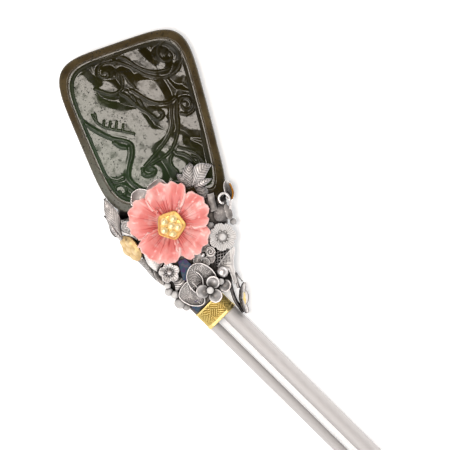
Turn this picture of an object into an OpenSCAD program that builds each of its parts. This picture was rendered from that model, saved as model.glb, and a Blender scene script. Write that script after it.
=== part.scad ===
// Binyeo hairpin with a carved jade plaque, a flowered silver mount and two prongs.
// Units are millimetres. It lies face up: X is across the prongs, Y runs from the tips to the head, Z is up.

/* [Plaque] */
// Width of the jade at its top end
plaque_width = 36; // [30:0.1:42]
// Width of the jade at its lower end, as a share of the top width
plaque_taper = 0.84; // [0.8:0.01:1]
// Length of the jade
plaque_length = 41.6; // [34:0.1:50]
// Thickness of the jade
plaque_thickness = 4.8; // [4:0.1:6]
// Width of the rounded rim
rim_width = 1.9; // [1.2:0.1:2.6]
// Depth of the sunk field
field_depth = 0.8; // [0.4:0.05:1.2]
// Height of the carving above the field
relief_height = 0.62; // [0.3:0.02:0.8]

/* [Mount] */
// Distance from the collar to the plaque's far end
head_length = 71.1; // [68:0.1:78]
// Angle between the head and the prongs
head_lean = 26.5; // [15:0.5:35]
// Sideways offset of the head's middle line from the collar
head_shift = 1.7; // [0:0.1:3]
// Height of the mount's front face above the table
mount_height = 6.1; // [5.8:0.1:7]
// Thickness of the back plate under the plaque
back_plate = 0.8; // [0.6:0.05:1.2]

/* [Flowers] */
// Radius of the coral flower
coral_radius = 10.1; // [8:0.1:11.5]
// Height from the coral's seat to its petal rims
coral_rise = 2.1; // [1.4:0.1:3]
// Radius of the coral flower's gold centre
coral_center_radius = 3.8; // [3:0.1:4.6]
// Radius of the gold flower at the left side
gold_flower_radius = 3.9; // [3:0.1:4.5]
// Radius of the flower that stands on edge at the right side
side_flower_radius = 3.9; // [3.2:0.1:4.4]

/* [Collar] */
// Width of the gold collar
collar_width = 8.9; // [8.4:0.1:10.5]
// Depth of the gold collar from front to back
collar_depth = 5.4; // [4.8:0.1:5.8]
// Length of the gold collar along the prongs
collar_length = 5.2; // [4:0.1:6.5]
// Wall of the gold collar
collar_wall = 0.55; // [0.4:0.05:0.8]

/* [Prongs] */
// Length of each prong below the collar
prong_length = 90; // [60:1:110]
// Diameter of the wide prong
wide_prong_diameter = 4.2; // [3.4:0.1:4.6]
// Diameter of the slim prong
slim_prong_diameter = 2.6; // [2:0.1:3]

/* [Fit] */
// Gap left between pieces that are not soldered together
fit_gap = 0.08; // [0.05:0.01:0.15]

/* [Hidden] */

silver = [0.66, 0.64, 0.62];
gold = [0.86, 0.68, 0.28];
coral = [0.93, 0.5, 0.46];
jade = [0.2, 0.22, 0.13];
shell = [0.42, 0.45, 0.62];

half_width = plaque_width / 2;
half_length = plaque_length / 2;
mount_half = plaque_width * 0.48;
plaque_middle = head_length - half_length;
plaque_bottom = back_plate + fit_gap;
plaque_top = plaque_bottom + plaque_thickness;
field_height = plaque_top - field_depth;
outline_power = 5;
outline_points = 64;
collar_radius = collar_depth / 2;
socket_share = 0.6;
socket_depth = collar_length * 0.8;
prong_socket_reach = collar_length / 2 + socket_depth;
prong_middle = collar_depth / 2;
prong_inset = 0.2;
wide_prong_offset = collar_width / 2 - wide_prong_diameter / 2 - prong_inset;
slim_prong_offset = -collar_width / 2 + slim_prong_diameter / 2 + prong_inset;
prong_start = -collar_length / 2 - fit_gap;
prong_taper_share = 0.16;
prong_tip_share = 0.45;
coral_across = -0.08;
coral_along = 0.338;
coral_lift = 0.85;
coral_seat = mount_height + coral_lift;
coral_wall = 1;
coral_post = 4;
inlay_thickness = 0.5;
inlay_large_length = 5.2;
inlay_small_width = 3.2;
leaf_thickness = 0.75;
stem_length = 1.6;
side_flower_thickness = side_flower_radius * 0.22;
lotus_thickness = 1.1;
lotus_wire = 0.32;
cupped_petal = 1.6;
coil_radius = 1.5;
coil_wire = 0.42;
round_leaf = 2.2;
body_edge = mount_half * 0.064;
body_corner = mount_half * 0.017;
neck_slice = 0.3;
arm = 0.7;
lip_height = 0.15;
overlap = 0.02;

// Half width of the plaque at a distance y from its middle
function plaque_half(y) = half_width * (plaque_taper + (1 - plaque_taper) * (y / plaque_length + 0.5));
function signed_power(v, e) = sign(v) * pow(abs(v), e);
function plaque_point(t, inset) =
    let (y = (half_length - inset) * signed_power(sin(t), 2 / outline_power))
    [(plaque_half(y) - inset) * signed_power(cos(t), 2 / outline_power), y];
function plaque_ring(inset, z) = [for (i = [0 : outline_points - 1])
    let (p = plaque_point(360 * i / outline_points, inset)) [p.x, p.y, z]];

// A place on the head from its shares of the mount's half width and of the head's length
function place(across, along, z) = [across * mount_half, along * head_length, z];
// The same place seen from the collar
function from_head(p) = [
    (p.x - head_shift) * cos(head_lean) + p.y * sin(head_lean),
    -(p.x - head_shift) * sin(head_lean) + p.y * cos(head_lean)];
head_corners = [for (i = [0 : outline_points - 1])
    let (p = plaque_point(360 * i / outline_points, 0)) from_head([p.x, p.y + plaque_middle])];
far_right = max([for (p = head_corners) p.x]);
far_end = max([for (p = head_corners) p.y]);
near_end = prong_start - prong_length;
middle_y = (far_end + near_end) / 2;

// Carved lines: width share of the rim, then shares of the mount's half width and the plaque's half length
carving = [
    [0.30, [[-0.25, 0.67], [-0.32, 0.73], [-0.35, 0.79], [-0.24, 0.81], [-0.06, 0.76], [0.07, 0.70],
        [0.18, 0.57], [0.31, 0.49], [0.45, 0.43], [0.58, 0.42]]],
    [0.30, [[-0.01, 0.83], [0.19, 0.69], [0.31, 0.56], [0.44, 0.50], [0.60, 0.50], [0.70, 0.56], [0.73, 0.64],
        [0.66, 0.71], [0.57, 0.66], [0.59, 0.59], [0.66, 0.60]]],
    [0.32, [[-0.49, 0.57], [-0.40, 0.49], [-0.27, 0.44], [-0.14, 0.45], [-0.09, 0.63]]],
    [0.50, [[-0.42, 0.44], [-0.31, 0.33], [-0.18, 0.30], [-0.10, 0.36]]],
    [0.26, [[-0.02, 0.48], [0.03, 0.40]]],
    [0.34, [[-0.09, 0.39], [0.02, 0.25], [0.15, 0.12], [0.22, -0.02], [0.30, 0.03]]],
    [0.36, [[0.56, 0.10], [0.64, 0.10], [0.68, 0.03], [0.62, -0.02], [0.52, -0.03], [0.43, -0.14],
        [0.37, -0.23], [0.23, -0.35], [0.09, -0.43], [-0.07, -0.50], [-0.18, -0.53], [-0.13, -0.56]]],
    [0.20, [[-0.63, 0.25], [-0.17, -0.07]]],
    [0.20, [[-0.52, 0.17], [-0.50, 0.25]]],
    [0.20, [[-0.40, 0.09], [-0.37, 0.17]]],
    [0.20, [[-0.30, 0.02], [-0.27, 0.09]]],
    [0.42, [[-0.81, 0.24], [-0.53, -0.01], [-0.31, -0.14], [-0.25, -0.22], [-0.28, -0.30], [-0.35, -0.40],
        [-0.45, -0.55], [-0.39, -0.71]]],
    [0.34, [[-0.82, 0.20], [-0.85, -0.02], [-0.81, -0.27], [-0.74, -0.46], [-0.65, -0.52], [-0.50, -0.54]]],
    [0.28, [[-0.68, -0.60], [-0.60, -0.64], [-0.53, -0.65], [-0.47, -0.76], [-0.58, -0.74]]],
    [0.30, [[0.31, -0.47], [0.40, -0.58], [0.42, -0.66]]],
    [0.30, [[0.35, -0.44], [0.57, -0.53], [0.64, -0.64], [0.53, -0.66]]]];

// Body of the mount: share along the head, middle, half width and front height
mount_body = [
    [0.056, 0.077, 0.362, 0.90],
    [0.127, 0.032, 0.506, 0.93],
    [0.211, 0.000, 0.590, 0.96],
    [0.295, 0.000, 0.705, 0.99],
    [0.360, -0.010, 0.790, 1.00],
    [0.408, -0.020, 0.825, 1.00]];

// Leaves: root across and along, tip across and along, width share, root height, tip height, teeth
leaves = [
    [0.45, 0.395, 0.73, 0.495, 0.208, 0.95, 1.22, 1],
    [0.45, 0.400, 0.42, 0.524, 0.173, 0.95, 1.16, 1],
    [0.47, 0.390, 0.68, 0.440, 0.150, 0.98, 1.10, 1],
    [0.48, 0.425, 0.66, 0.335, 0.173, 1.05, 1.02, 0],
    [-0.20, 0.385, -0.56, 0.452, 0.173, 1.00, 1.08, 0],
    [-0.14, 0.380, -0.23, 0.490, 0.173, 1.00, 1.10, 0],
    [-0.03, 0.382, -0.05, 0.506, 0.173, 1.00, 1.10, 0],
    [-0.76, 0.340, -0.86, 0.494, 0.150, 0.96, 1.10, 0],
    [-0.74, 0.320, -0.94, 0.437, 0.162, 0.66, 0.80, 1],
    [-0.60, 0.285, -0.44, 0.190, 0.173, 1.00, 1.04, 0],
    [-0.36, 0.170, -0.20, 0.095, 0.185, 0.98, 1.00, 0],
    [0.72, 0.420, 0.88, 0.345, 0.150, 0.92, 0.98, 0],
    [0.56, 0.200, 0.46, 0.104, 0.173, 0.86, 0.94, 0],
    [0.64, 0.285, 0.84, 0.262, 0.139, 0.86, 0.90, 0]];

// Balls: across, along, height share of the mount, radius share
balls = [
    [-0.44, 0.139, 0.94, 0.055],
    [-0.47, 0.112, 0.86, 0.058],
    [-0.37, 0.098, 0.94, 0.052],
    [-0.33, 0.069, 0.86, 0.069],
    [0.77, 0.280, 0.84, 0.043],
    [-0.44, 0.189, 0.98, 0.046],
    [-0.68, 0.368, 1.02, 0.052],
    [-0.28, 0.045, 0.80, 0.052]];
near_left = min([for (row = balls) from_head(place(row[0], row[1], 0)).x - row[3] * mount_half]);
middle_x = (far_right + near_left) / 2;

// Small flowers: across, along, height share, petal count, radius share, tilt, heading
small_flowers = [
    [-0.33, 0.181, 1.08, 5, 0.133, 14, 200],
    [0.20, 0.202, 1.06, 5, 0.130, 8, 300],
    [0.54, 0.243, 1.02, 6, 0.191, 16, 10],
    [0.31, 0.097, 1.12, 5, 0.150, 20, 350]];

module ring_solid(rings) {
    count = len(rings[0]);
    last = len(rings) - 1;
    sides = [for (i = [0 : last - 1]) for (j = [0 : count - 1])
        let (k = (j + 1) % count, a = i * count + j, b = i * count + k, c = a + count, d = b + count)
        each [[a, c, d], [a, d, b]]];
    floor_face = [[for (j = [0 : count - 1]) j]];
    top_face = [[for (j = [0 : count - 1]) last * count + count - 1 - j]];
    polyhedron(points = [for (r = rings) each r], faces = concat(floor_face, sides, top_face));
}

module on_head() {
    rotate([0, 0, -head_lean]) translate([-head_shift, 0, 0]) children();
}

module at_rest() {
    translate([-middle_x, -middle_y, 0]) children();
}

module stadium(width, radius) {
    for (side = [-1, 1]) {
        translate([side * (width / 2 - radius), 0]) circle(r = radius, $fn = 64);
    }
    square([width - 2 * radius, 2 * radius], center = true);
}

module plaque_body(grow) {
    translate([0, plaque_middle, 0]) ring_solid([
        plaque_ring(rim_width * 0.5 - grow, plaque_bottom - grow),
        plaque_ring(rim_width * 0.12 - grow, plaque_bottom + plaque_thickness * 0.12 - grow),
        plaque_ring(-grow, plaque_bottom + plaque_thickness * 0.35),
        plaque_ring(-grow, plaque_bottom + plaque_thickness * 0.65),
        plaque_ring(rim_width * 0.14 - grow, plaque_bottom + plaque_thickness * 0.9 + grow),
        plaque_ring(rim_width * 0.5 - grow, plaque_top + grow)]);
}

module carved_bump(radius) {
    cylinder(h = relief_height + overlap, r1 = radius, r2 = radius * 0.4, $fn = 8);
}

module carved_line(width, path) {
    for (i = [0 : len(path) - 2]) {
        hull() {
            for (p = [path[i], path[i + 1]]) {
                translate([p[0] * mount_half, plaque_middle + p[1] * half_length, field_height - overlap])
                    carved_bump(width * rim_width);
            }
        }
    }
}

module jade_plaque() {
    color(jade) at_rest() on_head() {
        translate([0, plaque_middle, 0]) ring_solid([
            plaque_ring(rim_width * 0.5, plaque_bottom),
            plaque_ring(rim_width * 0.12, plaque_bottom + plaque_thickness * 0.12),
            plaque_ring(0, plaque_bottom + plaque_thickness * 0.35),
            plaque_ring(0, plaque_bottom + plaque_thickness * 0.65),
            plaque_ring(rim_width * 0.14, plaque_top - plaque_thickness * 0.1),
            plaque_ring(rim_width * 0.5, plaque_top - overlap),
            plaque_ring(rim_width * 0.8, plaque_top),
            plaque_ring(rim_width, plaque_top - field_depth * 0.35),
            plaque_ring(rim_width * 1.15, plaque_top - field_depth * 0.3),
            plaque_ring(rim_width * 1.7, plaque_top - field_depth * 0.45),
            plaque_ring(rim_width * 1.85, field_height)]);
        for (line = carving) {
            carved_line(line[0], line[1]);
        }
    }
}

// A leaf with a raised middle rib, from its root to its tip
module leaf(root, tip, width, thickness, teeth) {
    length = norm(tip - root);
    heading = atan2(tip.y - root.y, tip.x - root.x);
    climb = asin((tip.z - root.z) / length);
    rows = 7;
    profile = [0.25, 0.72, 1, 0.98, 0.8, 0.5, 0.06];
    translate(root) rotate([0, 0, heading]) rotate([0, -climb, 0]) rotate([90, 0, 90])
        ring_solid([for (i = [0 : rows - 1])
            let (
                notch = 1 - teeth * 0.2 * (i % 2),
                w = width / 2 * profile[i] * notch,
                t = thickness * (0.4 + 0.6 * profile[i]),
                arch = thickness * sin(180 * i / (rows - 1)),
                s = length * i / (rows - 1))
            [[-w, arch - t * 0.3, s], [0, arch - t, s], [w, arch - t * 0.3, s], [0, arch + t * 0.5, s]]]);
}

function rosette_ring(petal_count, radius, notch, z) = [for (i = [0 : 6 * petal_count - 1])
    let (a = 60 * i / petal_count, r = radius * (1 - notch * (1 - pow(abs(sin(a * petal_count / 2)), 0.7))))
    [r * cos(a), r * sin(a), z]];

// A flower of joined petals in one shell
module rosette(petal_count, radius, thickness) {
    ring_solid([
        rosette_ring(petal_count, radius * 0.5, 0, -thickness * 0.5),
        rosette_ring(petal_count, radius * 0.95, 0.2, 0),
        rosette_ring(petal_count, radius, 0.24, thickness * 0.4),
        rosette_ring(petal_count, radius * 0.82, 0.3, thickness),
        rosette_ring(petal_count, radius * 0.4, 0.1, thickness * 0.7)]);
}

module small_flower(row) {
    radius = row[4] * mount_half;
    thickness = radius * 0.25;
    ball = radius * 0.28;
    translate(place(row[0], row[1], row[2] * mount_height)) rotate([0, 0, row[6]]) rotate([0, row[5], 0]) {
        rosette(row[3], radius, thickness);
        translate([0, 0, thickness]) rotate([9, 5, 7]) sphere(r = ball, $fn = 10);
        translate([0, 0, -stem_length]) rotate([0, 0, 11]) cylinder(h = stem_length, r = ball, $fn = 8);
    }
}

// Rounded lotus leaf with a raised wire around it
module lotus_leaf(across, along, radius, heading, tilt) {
    translate(place(across, along, mount_height * 0.99)) rotate([0, 0, heading]) rotate([0, tilt, 0])
        scale([1.12, 0.9, 1]) {
            translate([0, 0, -lotus_thickness * 0.73]) cylinder(h = lotus_thickness, r = radius, $fn = 18);
            rotate_extrude($fn = 18) translate([radius - lotus_wire, lotus_wire])
                circle(r = lotus_wire, $fn = 6);
        }
}

// Flower of hollow cupped petals around a ball
module cupped_flower() {
    translate(place(0.12, 0.073, mount_height * 1.2)) {
        for (i = [0 : 4]) {
            rotate([0, 0, 100 + 72 * i]) translate([cupped_petal * 1.31, 0, 0]) rotate([0, -24, 13 + 8 * i])
                difference() {
                    scale([1, 1, 0.55]) sphere(r = cupped_petal, $fn = 12);
                    translate([-0.06, 0, 0.47] * cupped_petal) scale([1, 1, 0.55])
                        sphere(r = cupped_petal * 0.97, $fn = 12);
                }
        }
        translate([0, 0, -cupped_petal * 1.5])
            cylinder(h = cupped_petal * 1.62, r = cupped_petal * 0.69, $fn = 10);
        translate([0, 0, cupped_petal * 0.22]) sphere(r = cupped_petal * 0.53, $fn = 12);
    }
}

module coil(center, turns, tail) {
    steps = 9;
    spiral = [for (i = [0 : steps])
        let (a = 200 + 360 * turns * i / steps, r = coil_radius * (0.2 + 0.8 * i / steps))
        center + [r * cos(a), r * sin(a), 0]];
    path = concat(spiral, [tail]);
    for (i = [0 : len(path) - 2]) {
        hull() {
            translate(path[i]) sphere(r = coil_wire, $fn = 6);
            translate(path[i + 1]) sphere(r = coil_wire, $fn = 6);
        }
    }
}

module body_slab(row) {
    high = row[3] * mount_height;
    wide = row[2] * mount_half;
    translate(place(row[1], row[0], 0)) hull() {
        for (side = [-1, 1]) {
            translate([side * (wide - body_edge * 0.5), 0, 0])
                cylinder(h = body_edge, r = body_corner, $fn = 6);
            translate([side * wide, 0, body_edge])
                cylinder(h = high - 2.4 * body_edge, r = body_corner, $fn = 6);
            translate([side * (wide - body_edge * 1.3), 0, 0])
                cylinder(h = high, r = body_corner, $fn = 6);
        }
    }
}

module neck_section(length, inset) {
    translate([0, length, prong_middle]) rotate([90, 0, 0])
        linear_extrude(neck_slice) stadium(collar_width - 2 * inset, collar_radius - inset);
}

module gold_flower_pose() {
    translate(place(-0.76, 0.304, mount_height * 0.607)) rotate([0, 0, 18.4]) rotate([0, -58, 0]) children();
}

module side_flower_pose() {
    translate(place(0.549, 0.014, mount_height * 0.82)) rotate([0, 0, -11.7]) rotate([0, 78, 0]) children();
}

module side_arms() {
    clear = collar_width / 2 + arm * 1.21;
    lower = [
        [clear - arm * 1.29, collar_length * 0.92], [clear, collar_length * 0.5], [clear + arm * 0.14, 0],
        [clear + arm * 0.29, -collar_length * 0.5], [clear + arm * 0.5, -collar_length * 0.96]];
    for (i = [0 : len(lower) - 2]) {
        hull() {
            for (p = [lower[i], lower[i + 1]]) {
                translate([p.x, p.y, prong_middle + arm * 0.86]) scale([1, 1, 2]) sphere(r = arm, $fn = 8);
            }
        }
    }
    on_head() hull() {
        translate(place(0.48, 0.124, mount_height * 0.656)) sphere(r = arm, $fn = 8);
        translate(place(0.584, 0.064, mount_height * 0.8)) sphere(r = arm, $fn = 8);
    }
}

module inlay_large_shape(grow) {
    translate(place(-0.10, 0.172, mount_height * 0.965 - grow)) linear_extrude(inlay_thickness + 2 * grow)
        offset(delta = grow) polygon(inlay_large_length
            * [[-0.29, -0.5], [0.25, -0.5], [0.31, 0.19], [0.15, 0.5], [-0.23, 0.5]]);
}

module inlay_small_shape(grow) {
    translate([-collar_width * 0.2, collar_length * 0.81, collar_depth * 1.065 - grow]) rotate([0, 0, 12])
        linear_extrude(inlay_thickness + 2 * grow) offset(delta = grow) polygon(inlay_small_width
            * [[-0.5, -0.31], [0.41, -0.31], [0.5, 0.09], [0.13, 0.34], [-0.44, 0.28]]);
}

module mount_metal() {
    hull() {
        neck_section(-collar_length / 2 + neck_slice, collar_wall + fit_gap);
        neck_section(collar_length / 2 + neck_slice, collar_wall + fit_gap);
    }
    hull() {
        neck_section(collar_length / 2 + fit_gap + neck_slice, collar_wall * 0.6);
        on_head() body_slab(mount_body[0]);
    }
    side_arms();
    on_head() {
        for (i = [0 : len(mount_body) - 2]) {
            hull() {
                body_slab(mount_body[i]);
                body_slab(mount_body[i + 1]);
            }
        }
        hull() {
            for (side = [-1, 1]) {
                translate(place(side * 0.76, 0.4, 0))
                    cylinder(h = back_plate, r = mount_half * 0.06, $fn = 16);
                translate(place(side * 0.6, 0.5, 0))
                    cylinder(h = back_plate, r = mount_half * 0.13, $fn = 16);
            }
        }
        for (row = leaves) {
            leaf(place(row[0], row[1], row[5] * mount_height), place(row[2], row[3], row[6] * mount_height),
                row[4] * mount_half, leaf_thickness, row[7]);
        }
        for (side = [-1, 1]) {
            translate(place(side * 0.9 - 0.02, 0.4, 0)) scale([0.55, 1, 1])
                cylinder(h = mount_height, r = mount_half * 0.15, $fn = 12);
        }
        for (row = balls) {
            translate(place(row[0], row[1], row[2] * mount_height)) sphere(r = row[3] * mount_half, $fn = 12);
        }
        for (row = small_flowers) {
            small_flower(row);
        }
        lotus_leaf(0.08, 0.129, mount_half * 0.202, 70, -6);
        lotus_leaf(-0.11, 0.085, mount_half * 0.185, 20, -10);
        translate(place(0.67, 0.318, mount_height * 0.98)) scale([1, 1, 0.3])
            sphere(r = round_leaf, $fn = 14);
        translate(place(0.67, 0.318, mount_height * 0.4))
            cylinder(h = mount_height * 0.5, r = round_leaf * 0.73, $fn = 8);
        cupped_flower();
        coil(place(0.74, 0.36, mount_height * 1.04), 1.4, place(0.8, 0.325, mount_height * 0.9));
        translate(place(coral_across, coral_along, mount_height * 0.5))
            cylinder(h = coral_seat - fit_gap - mount_height * 0.5, r = coral_post, $fn = 24);
        side_flower_pose() rosette(5, side_flower_radius, side_flower_thickness);
        gold_flower_pose() translate([0, 0, -gold_flower_radius * 0.56])
            cylinder(h = gold_flower_radius * 0.41, r = gold_flower_radius * 0.31, $fn = 10);
    }
}

module silver_mount() {
    color(silver) at_rest() difference() {
        mount_metal();
        on_head() {
            plaque_body(fit_gap);
            inlay_large_shape(fit_gap);
            gold_flower_pose() translate([0, 0, -gold_flower_radius * 0.14 - fit_gap])
                cylinder(h = gold_flower_radius * 0.77, r = gold_flower_radius + fit_gap, $fn = 24);
            translate(place(coral_across, coral_along, coral_seat - fit_gap))
                cylinder(h = coral_radius * 0.4, r = coral_radius * 0.42, $fn = 24);
            translate(place(coral_across, coral_along, coral_seat + coral_wall * 0.25 - fit_gap))
                cylinder(h = coral_radius * 0.4, r1 = coral_radius * 0.6, r2 = coral_radius * 1.25, $fn = 30);
        }
        inlay_small_shape(fit_gap);
        translate([0, collar_length / 2 + fit_gap, prong_middle]) rotate([90, 0, 0])
            linear_extrude(collar_length + 2 * fit_gap) difference() {
                stadium(collar_width + 2 * fit_gap, collar_radius + fit_gap);
                stadium(collar_width - 2 * collar_wall - 2 * fit_gap, collar_radius - collar_wall - fit_gap);
            }
        for (prong = [[wide_prong_offset, wide_prong_diameter], [slim_prong_offset, slim_prong_diameter]]) {
            translate([prong[0] * 0.93, -collar_length, prong_middle]) rotate([-90, 0, 0])
                cylinder(h = prong_socket_reach, r = prong[1] / 2 * socket_share + fit_gap, $fn = 24);
        }
        translate([-half_width, -half_width, -half_width])
            cube([plaque_width * 2, head_length * 2, half_width]);
    }
}

// Height of the coral's upper face at an angle and a share of its radius
function petal_turn(a) = (a + 23) / 72 - floor((a + 23) / 72);
function petal_reach(a) =
    coral_radius * (0.86 + 0.13 * pow(sin(180 * petal_turn(a)), 0.6) + 0.012 * sin(a * 20));
function petal_height(a, s) =
    coral_wall + coral_rise * pow(s, 1.4) * (0.62 + 0.38 * sin(180 * petal_turn(a)))
    - 0.3 * coral_wall * (petal_turn(a) - 0.5) * s;

module coral_flower() {
    turns = 75;
    shares = [0.3, 0.5, 0.7, 0.86, 1];
    steps = len(shares);
    top = [for (s = shares) for (i = [0 : turns - 1])
        let (a = 360 * i / turns, r = petal_reach(a) * s)
        [r * cos(a), r * sin(a), petal_height(a, (s - 0.3) / 0.7)]];
    under = [for (p = top) [p.x, p.y, p.z - coral_wall * (p.z > coral_wall * 1.4 ? 0.8 : 1)]];
    count = turns * steps;
    wall = [for (i = [0 : steps - 2]) for (j = [0 : turns - 1])
        let (k = (j + 1) % turns, a = i * turns + j, b = i * turns + k, c = a + turns, d = b + turns)
        each [
            [a, d, c], [a, b, d],
            [count + a, count + c, count + d], [count + a, count + d, count + b]]];
    edge = [for (j = [0 : turns - 1])
        let (k = (j + 1) % turns, a = (steps - 1) * turns + j, b = (steps - 1) * turns + k)
        each [[a, b, count + b], [a, count + b, count + a]]];
    middle = [for (j = [0 : turns - 1])
        let (k = (j + 1) % turns)
        each [[2 * count, k, j], [2 * count + 1, count + j, count + k]]];
    color(coral) at_rest() on_head() translate(place(coral_across, coral_along, coral_seat))
        polyhedron(
            points = concat(top, under, [[0, 0, coral_wall], [0, 0, 0]]),
            faces = concat(wall, edge, middle));
}

module coral_flower_center() {
    thickness = coral_center_radius * 0.34;
    crown = coral_center_radius * 0.8;
    boss = coral_center_radius * 0.26;
    seat = coral_seat + coral_wall + coral_rise * 0.18 + fit_gap;
    color(gold) at_rest() on_head() translate(place(coral_across, coral_along, seat)) rotate([0, 0, 54]) {
        cylinder(h = thickness * 0.6, r = coral_center_radius, $fn = 5);
        translate([0, 0, thickness * 0.6 - overlap])
            cylinder(h = thickness * 0.4, r1 = coral_center_radius, r2 = crown, $fn = 5);
        for (i = [0 : 4]) {
            rotate([0, 0, 72 * i]) translate([coral_center_radius * 0.5, 0, thickness - boss * 0.55])
                sphere(r = boss, $fn = 32);
        }
        translate([0, 0, thickness - boss * 0.5]) sphere(r = boss, $fn = 32);
    }
}

module gold_flower() {
    color(gold) at_rest() on_head() gold_flower_pose()
        rosette(5, gold_flower_radius, gold_flower_radius * 0.256);
}

module side_flower_center() {
    dome = side_flower_radius * 0.6;
    lift = side_flower_thickness + fit_gap;
    color(gold) at_rest() on_head() side_flower_pose() translate([0, 0, lift]) intersection() {
        translate([0, 0, -dome * 0.6]) sphere(r = dome * 1.2, $fn = 48);
        cylinder(h = dome * 2, r = dome, $fn = 48);
    }
}

module shell_inlay_large() {
    color(shell) at_rest() on_head() inlay_large_shape(0);
}

module shell_inlay_small() {
    color(shell) at_rest() inlay_small_shape(0);
}

module gold_collar() {
    lip = collar_length * 0.09;
    color(gold) at_rest() translate([0, 0, prong_middle]) rotate([90, 0, 0]) difference() {
        union() {
            translate([0, 0, -collar_length / 2]) linear_extrude(collar_length)
                stadium(collar_width - 2 * lip_height, collar_radius - lip_height);
            for (z = [-collar_length / 2, collar_length / 2 - lip]) {
                translate([0, 0, z]) linear_extrude(lip) stadium(collar_width, collar_radius);
            }
        }
        translate([0, 0, -collar_length]) linear_extrude(collar_length * 2)
            stadium(collar_width - 2 * collar_wall, collar_radius - collar_wall);
    }
}

module prong(offset_x, diameter) {
    radius = diameter / 2;
    taper = prong_length * prong_taper_share;
    tip = radius * prong_tip_share;
    straight = prong_length - taper - tip;
    color(silver) at_rest() translate([offset_x, prong_start, prong_middle]) rotate([90, 0, 0]) {
        cylinder(h = straight, r = radius, $fn = 64);
        translate([0, 0, straight]) cylinder(h = taper, r1 = radius, r2 = tip, $fn = 64);
        translate([0, 0, straight + taper]) sphere(r = tip, $fn = 64);
        translate([-offset_x * 0.07, 0, -socket_depth + fit_gap])
            cylinder(h = socket_depth, r = radius * socket_share, $fn = 64);
    }
}

module wide_prong() {
    prong(wide_prong_offset, wide_prong_diameter);
}

module slim_prong() {
    prong(slim_prong_offset, slim_prong_diameter);
}

jade_plaque();
silver_mount();
coral_flower();
coral_flower_center();
gold_flower();
side_flower_center();
shell_inlay_large();
shell_inlay_small();
gold_collar();
wide_prong();
slim_prong();
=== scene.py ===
"""Looks of a two-pronged hairpin with a carved jade plaque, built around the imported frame.

Shapes are worked out in millimetres, in one of two flat frames: the pin's, whose middle is the collar, and
the head's, which leans away from it. place_pin() and place_head() turn them into the frame's metres. A part
is made of points, faces and a tone for each point, which the materials turn into a darker or lighter colour.
"""

import math

import bmesh
import bpy
import numpy as np
from mathutils import Matrix, Vector

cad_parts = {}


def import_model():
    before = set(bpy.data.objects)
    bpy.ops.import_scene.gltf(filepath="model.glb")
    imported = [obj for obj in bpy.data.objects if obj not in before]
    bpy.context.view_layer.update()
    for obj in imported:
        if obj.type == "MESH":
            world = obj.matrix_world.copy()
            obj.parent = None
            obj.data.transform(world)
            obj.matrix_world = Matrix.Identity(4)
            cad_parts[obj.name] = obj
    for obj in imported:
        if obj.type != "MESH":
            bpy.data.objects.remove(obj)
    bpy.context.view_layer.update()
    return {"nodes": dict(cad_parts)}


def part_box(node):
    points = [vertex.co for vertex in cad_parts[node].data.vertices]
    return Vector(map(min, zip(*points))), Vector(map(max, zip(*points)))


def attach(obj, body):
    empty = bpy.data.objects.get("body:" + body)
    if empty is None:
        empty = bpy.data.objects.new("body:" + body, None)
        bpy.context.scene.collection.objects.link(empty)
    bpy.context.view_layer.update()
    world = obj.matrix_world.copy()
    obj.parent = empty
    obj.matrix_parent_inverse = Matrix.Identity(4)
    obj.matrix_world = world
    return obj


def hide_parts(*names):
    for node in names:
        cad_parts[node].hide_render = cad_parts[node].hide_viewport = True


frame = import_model()

# Sizes in millimetres, as in the part's source
MM = 0.001
FIT_GAP = 0.08
HEAD_LEAN = math.radians(26.5)
HEAD_SHIFT = 1.7
HEAD_LENGTH = 71.1
HALF_WIDTH = 18.0
HALF_LENGTH = 20.8
PLAQUE_TAPER = 0.84
PLAQUE_THICKNESS = 4.8
OUTLINE_POWER = 5
FIELD_DEPTH = 0.8
BACK_PLATE = 0.8
MOUNT_HEIGHT = 6.1
CORAL_LIFT = 0.85
CORAL_MIDDLE = (-1.38, 24.03)
COLLAR_WIDTH = 8.9
COLLAR_DEPTH = 5.4
COLLAR_LENGTH = 5.2
COLLAR_WALL = 0.55

PLAQUE_MIDDLE = HEAD_LENGTH - HALF_LENGTH
PLAQUE_BOTTOM = BACK_PLATE + FIT_GAP
PLAQUE_TOP = PLAQUE_BOTTOM + PLAQUE_THICKNESS
CORAL_SEAT = MOUNT_HEIGHT + CORAL_LIFT

collar_low, collar_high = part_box("gold_collar")
PIN_ORIGIN = np.array([(collar_low.x + collar_high.x) / 2, (collar_low.y + collar_high.y) / 2, 0.0])


# Frames and meshes

def place_pin(points):
    """Pin millimetres to metres in the frame."""
    return np.asarray(points, float) * MM + PIN_ORIGIN


def head_to_pin(points):
    """Head millimetres to pin millimetres."""
    p = np.asarray(points, float)
    u = p[..., 0] - HEAD_SHIFT
    v = p[..., 1]
    across = u * math.cos(HEAD_LEAN) + v * math.sin(HEAD_LEAN)
    along = v * math.cos(HEAD_LEAN) - u * math.sin(HEAD_LEAN)
    return np.stack([across, along, p[..., 2]], -1)


def place_head(points):
    """Head millimetres to metres in the frame."""
    return place_pin(head_to_pin(points))


def step(a, b, x):
    """Smooth step from 0 at a to 1 at b."""
    t = np.clip((x - a) / (b - a), 0, 1)
    return t * t * (3 - 2 * t)


def bell(x, width):
    """A soft bump of height 1 at 0."""
    return np.exp(-(x / width) ** 2)


def turns(count):
    """Evenly spaced angles round a circle."""
    return np.linspace(0, 2 * np.pi, count, endpoint=False)


def polar(rows, cols, start=0.03):
    """Shares from the middle outward, as a column, and angles round it, as a row."""
    return np.linspace(start, 1, rows)[:, None], turns(cols)[None, :]


def strip(rows, cols):
    """Shares from root to tip, as a column, and from -1 to 1 across, as a row."""
    return np.linspace(0, 1, rows)[:, None], np.linspace(-1, 1, cols)[None, :]


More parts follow.
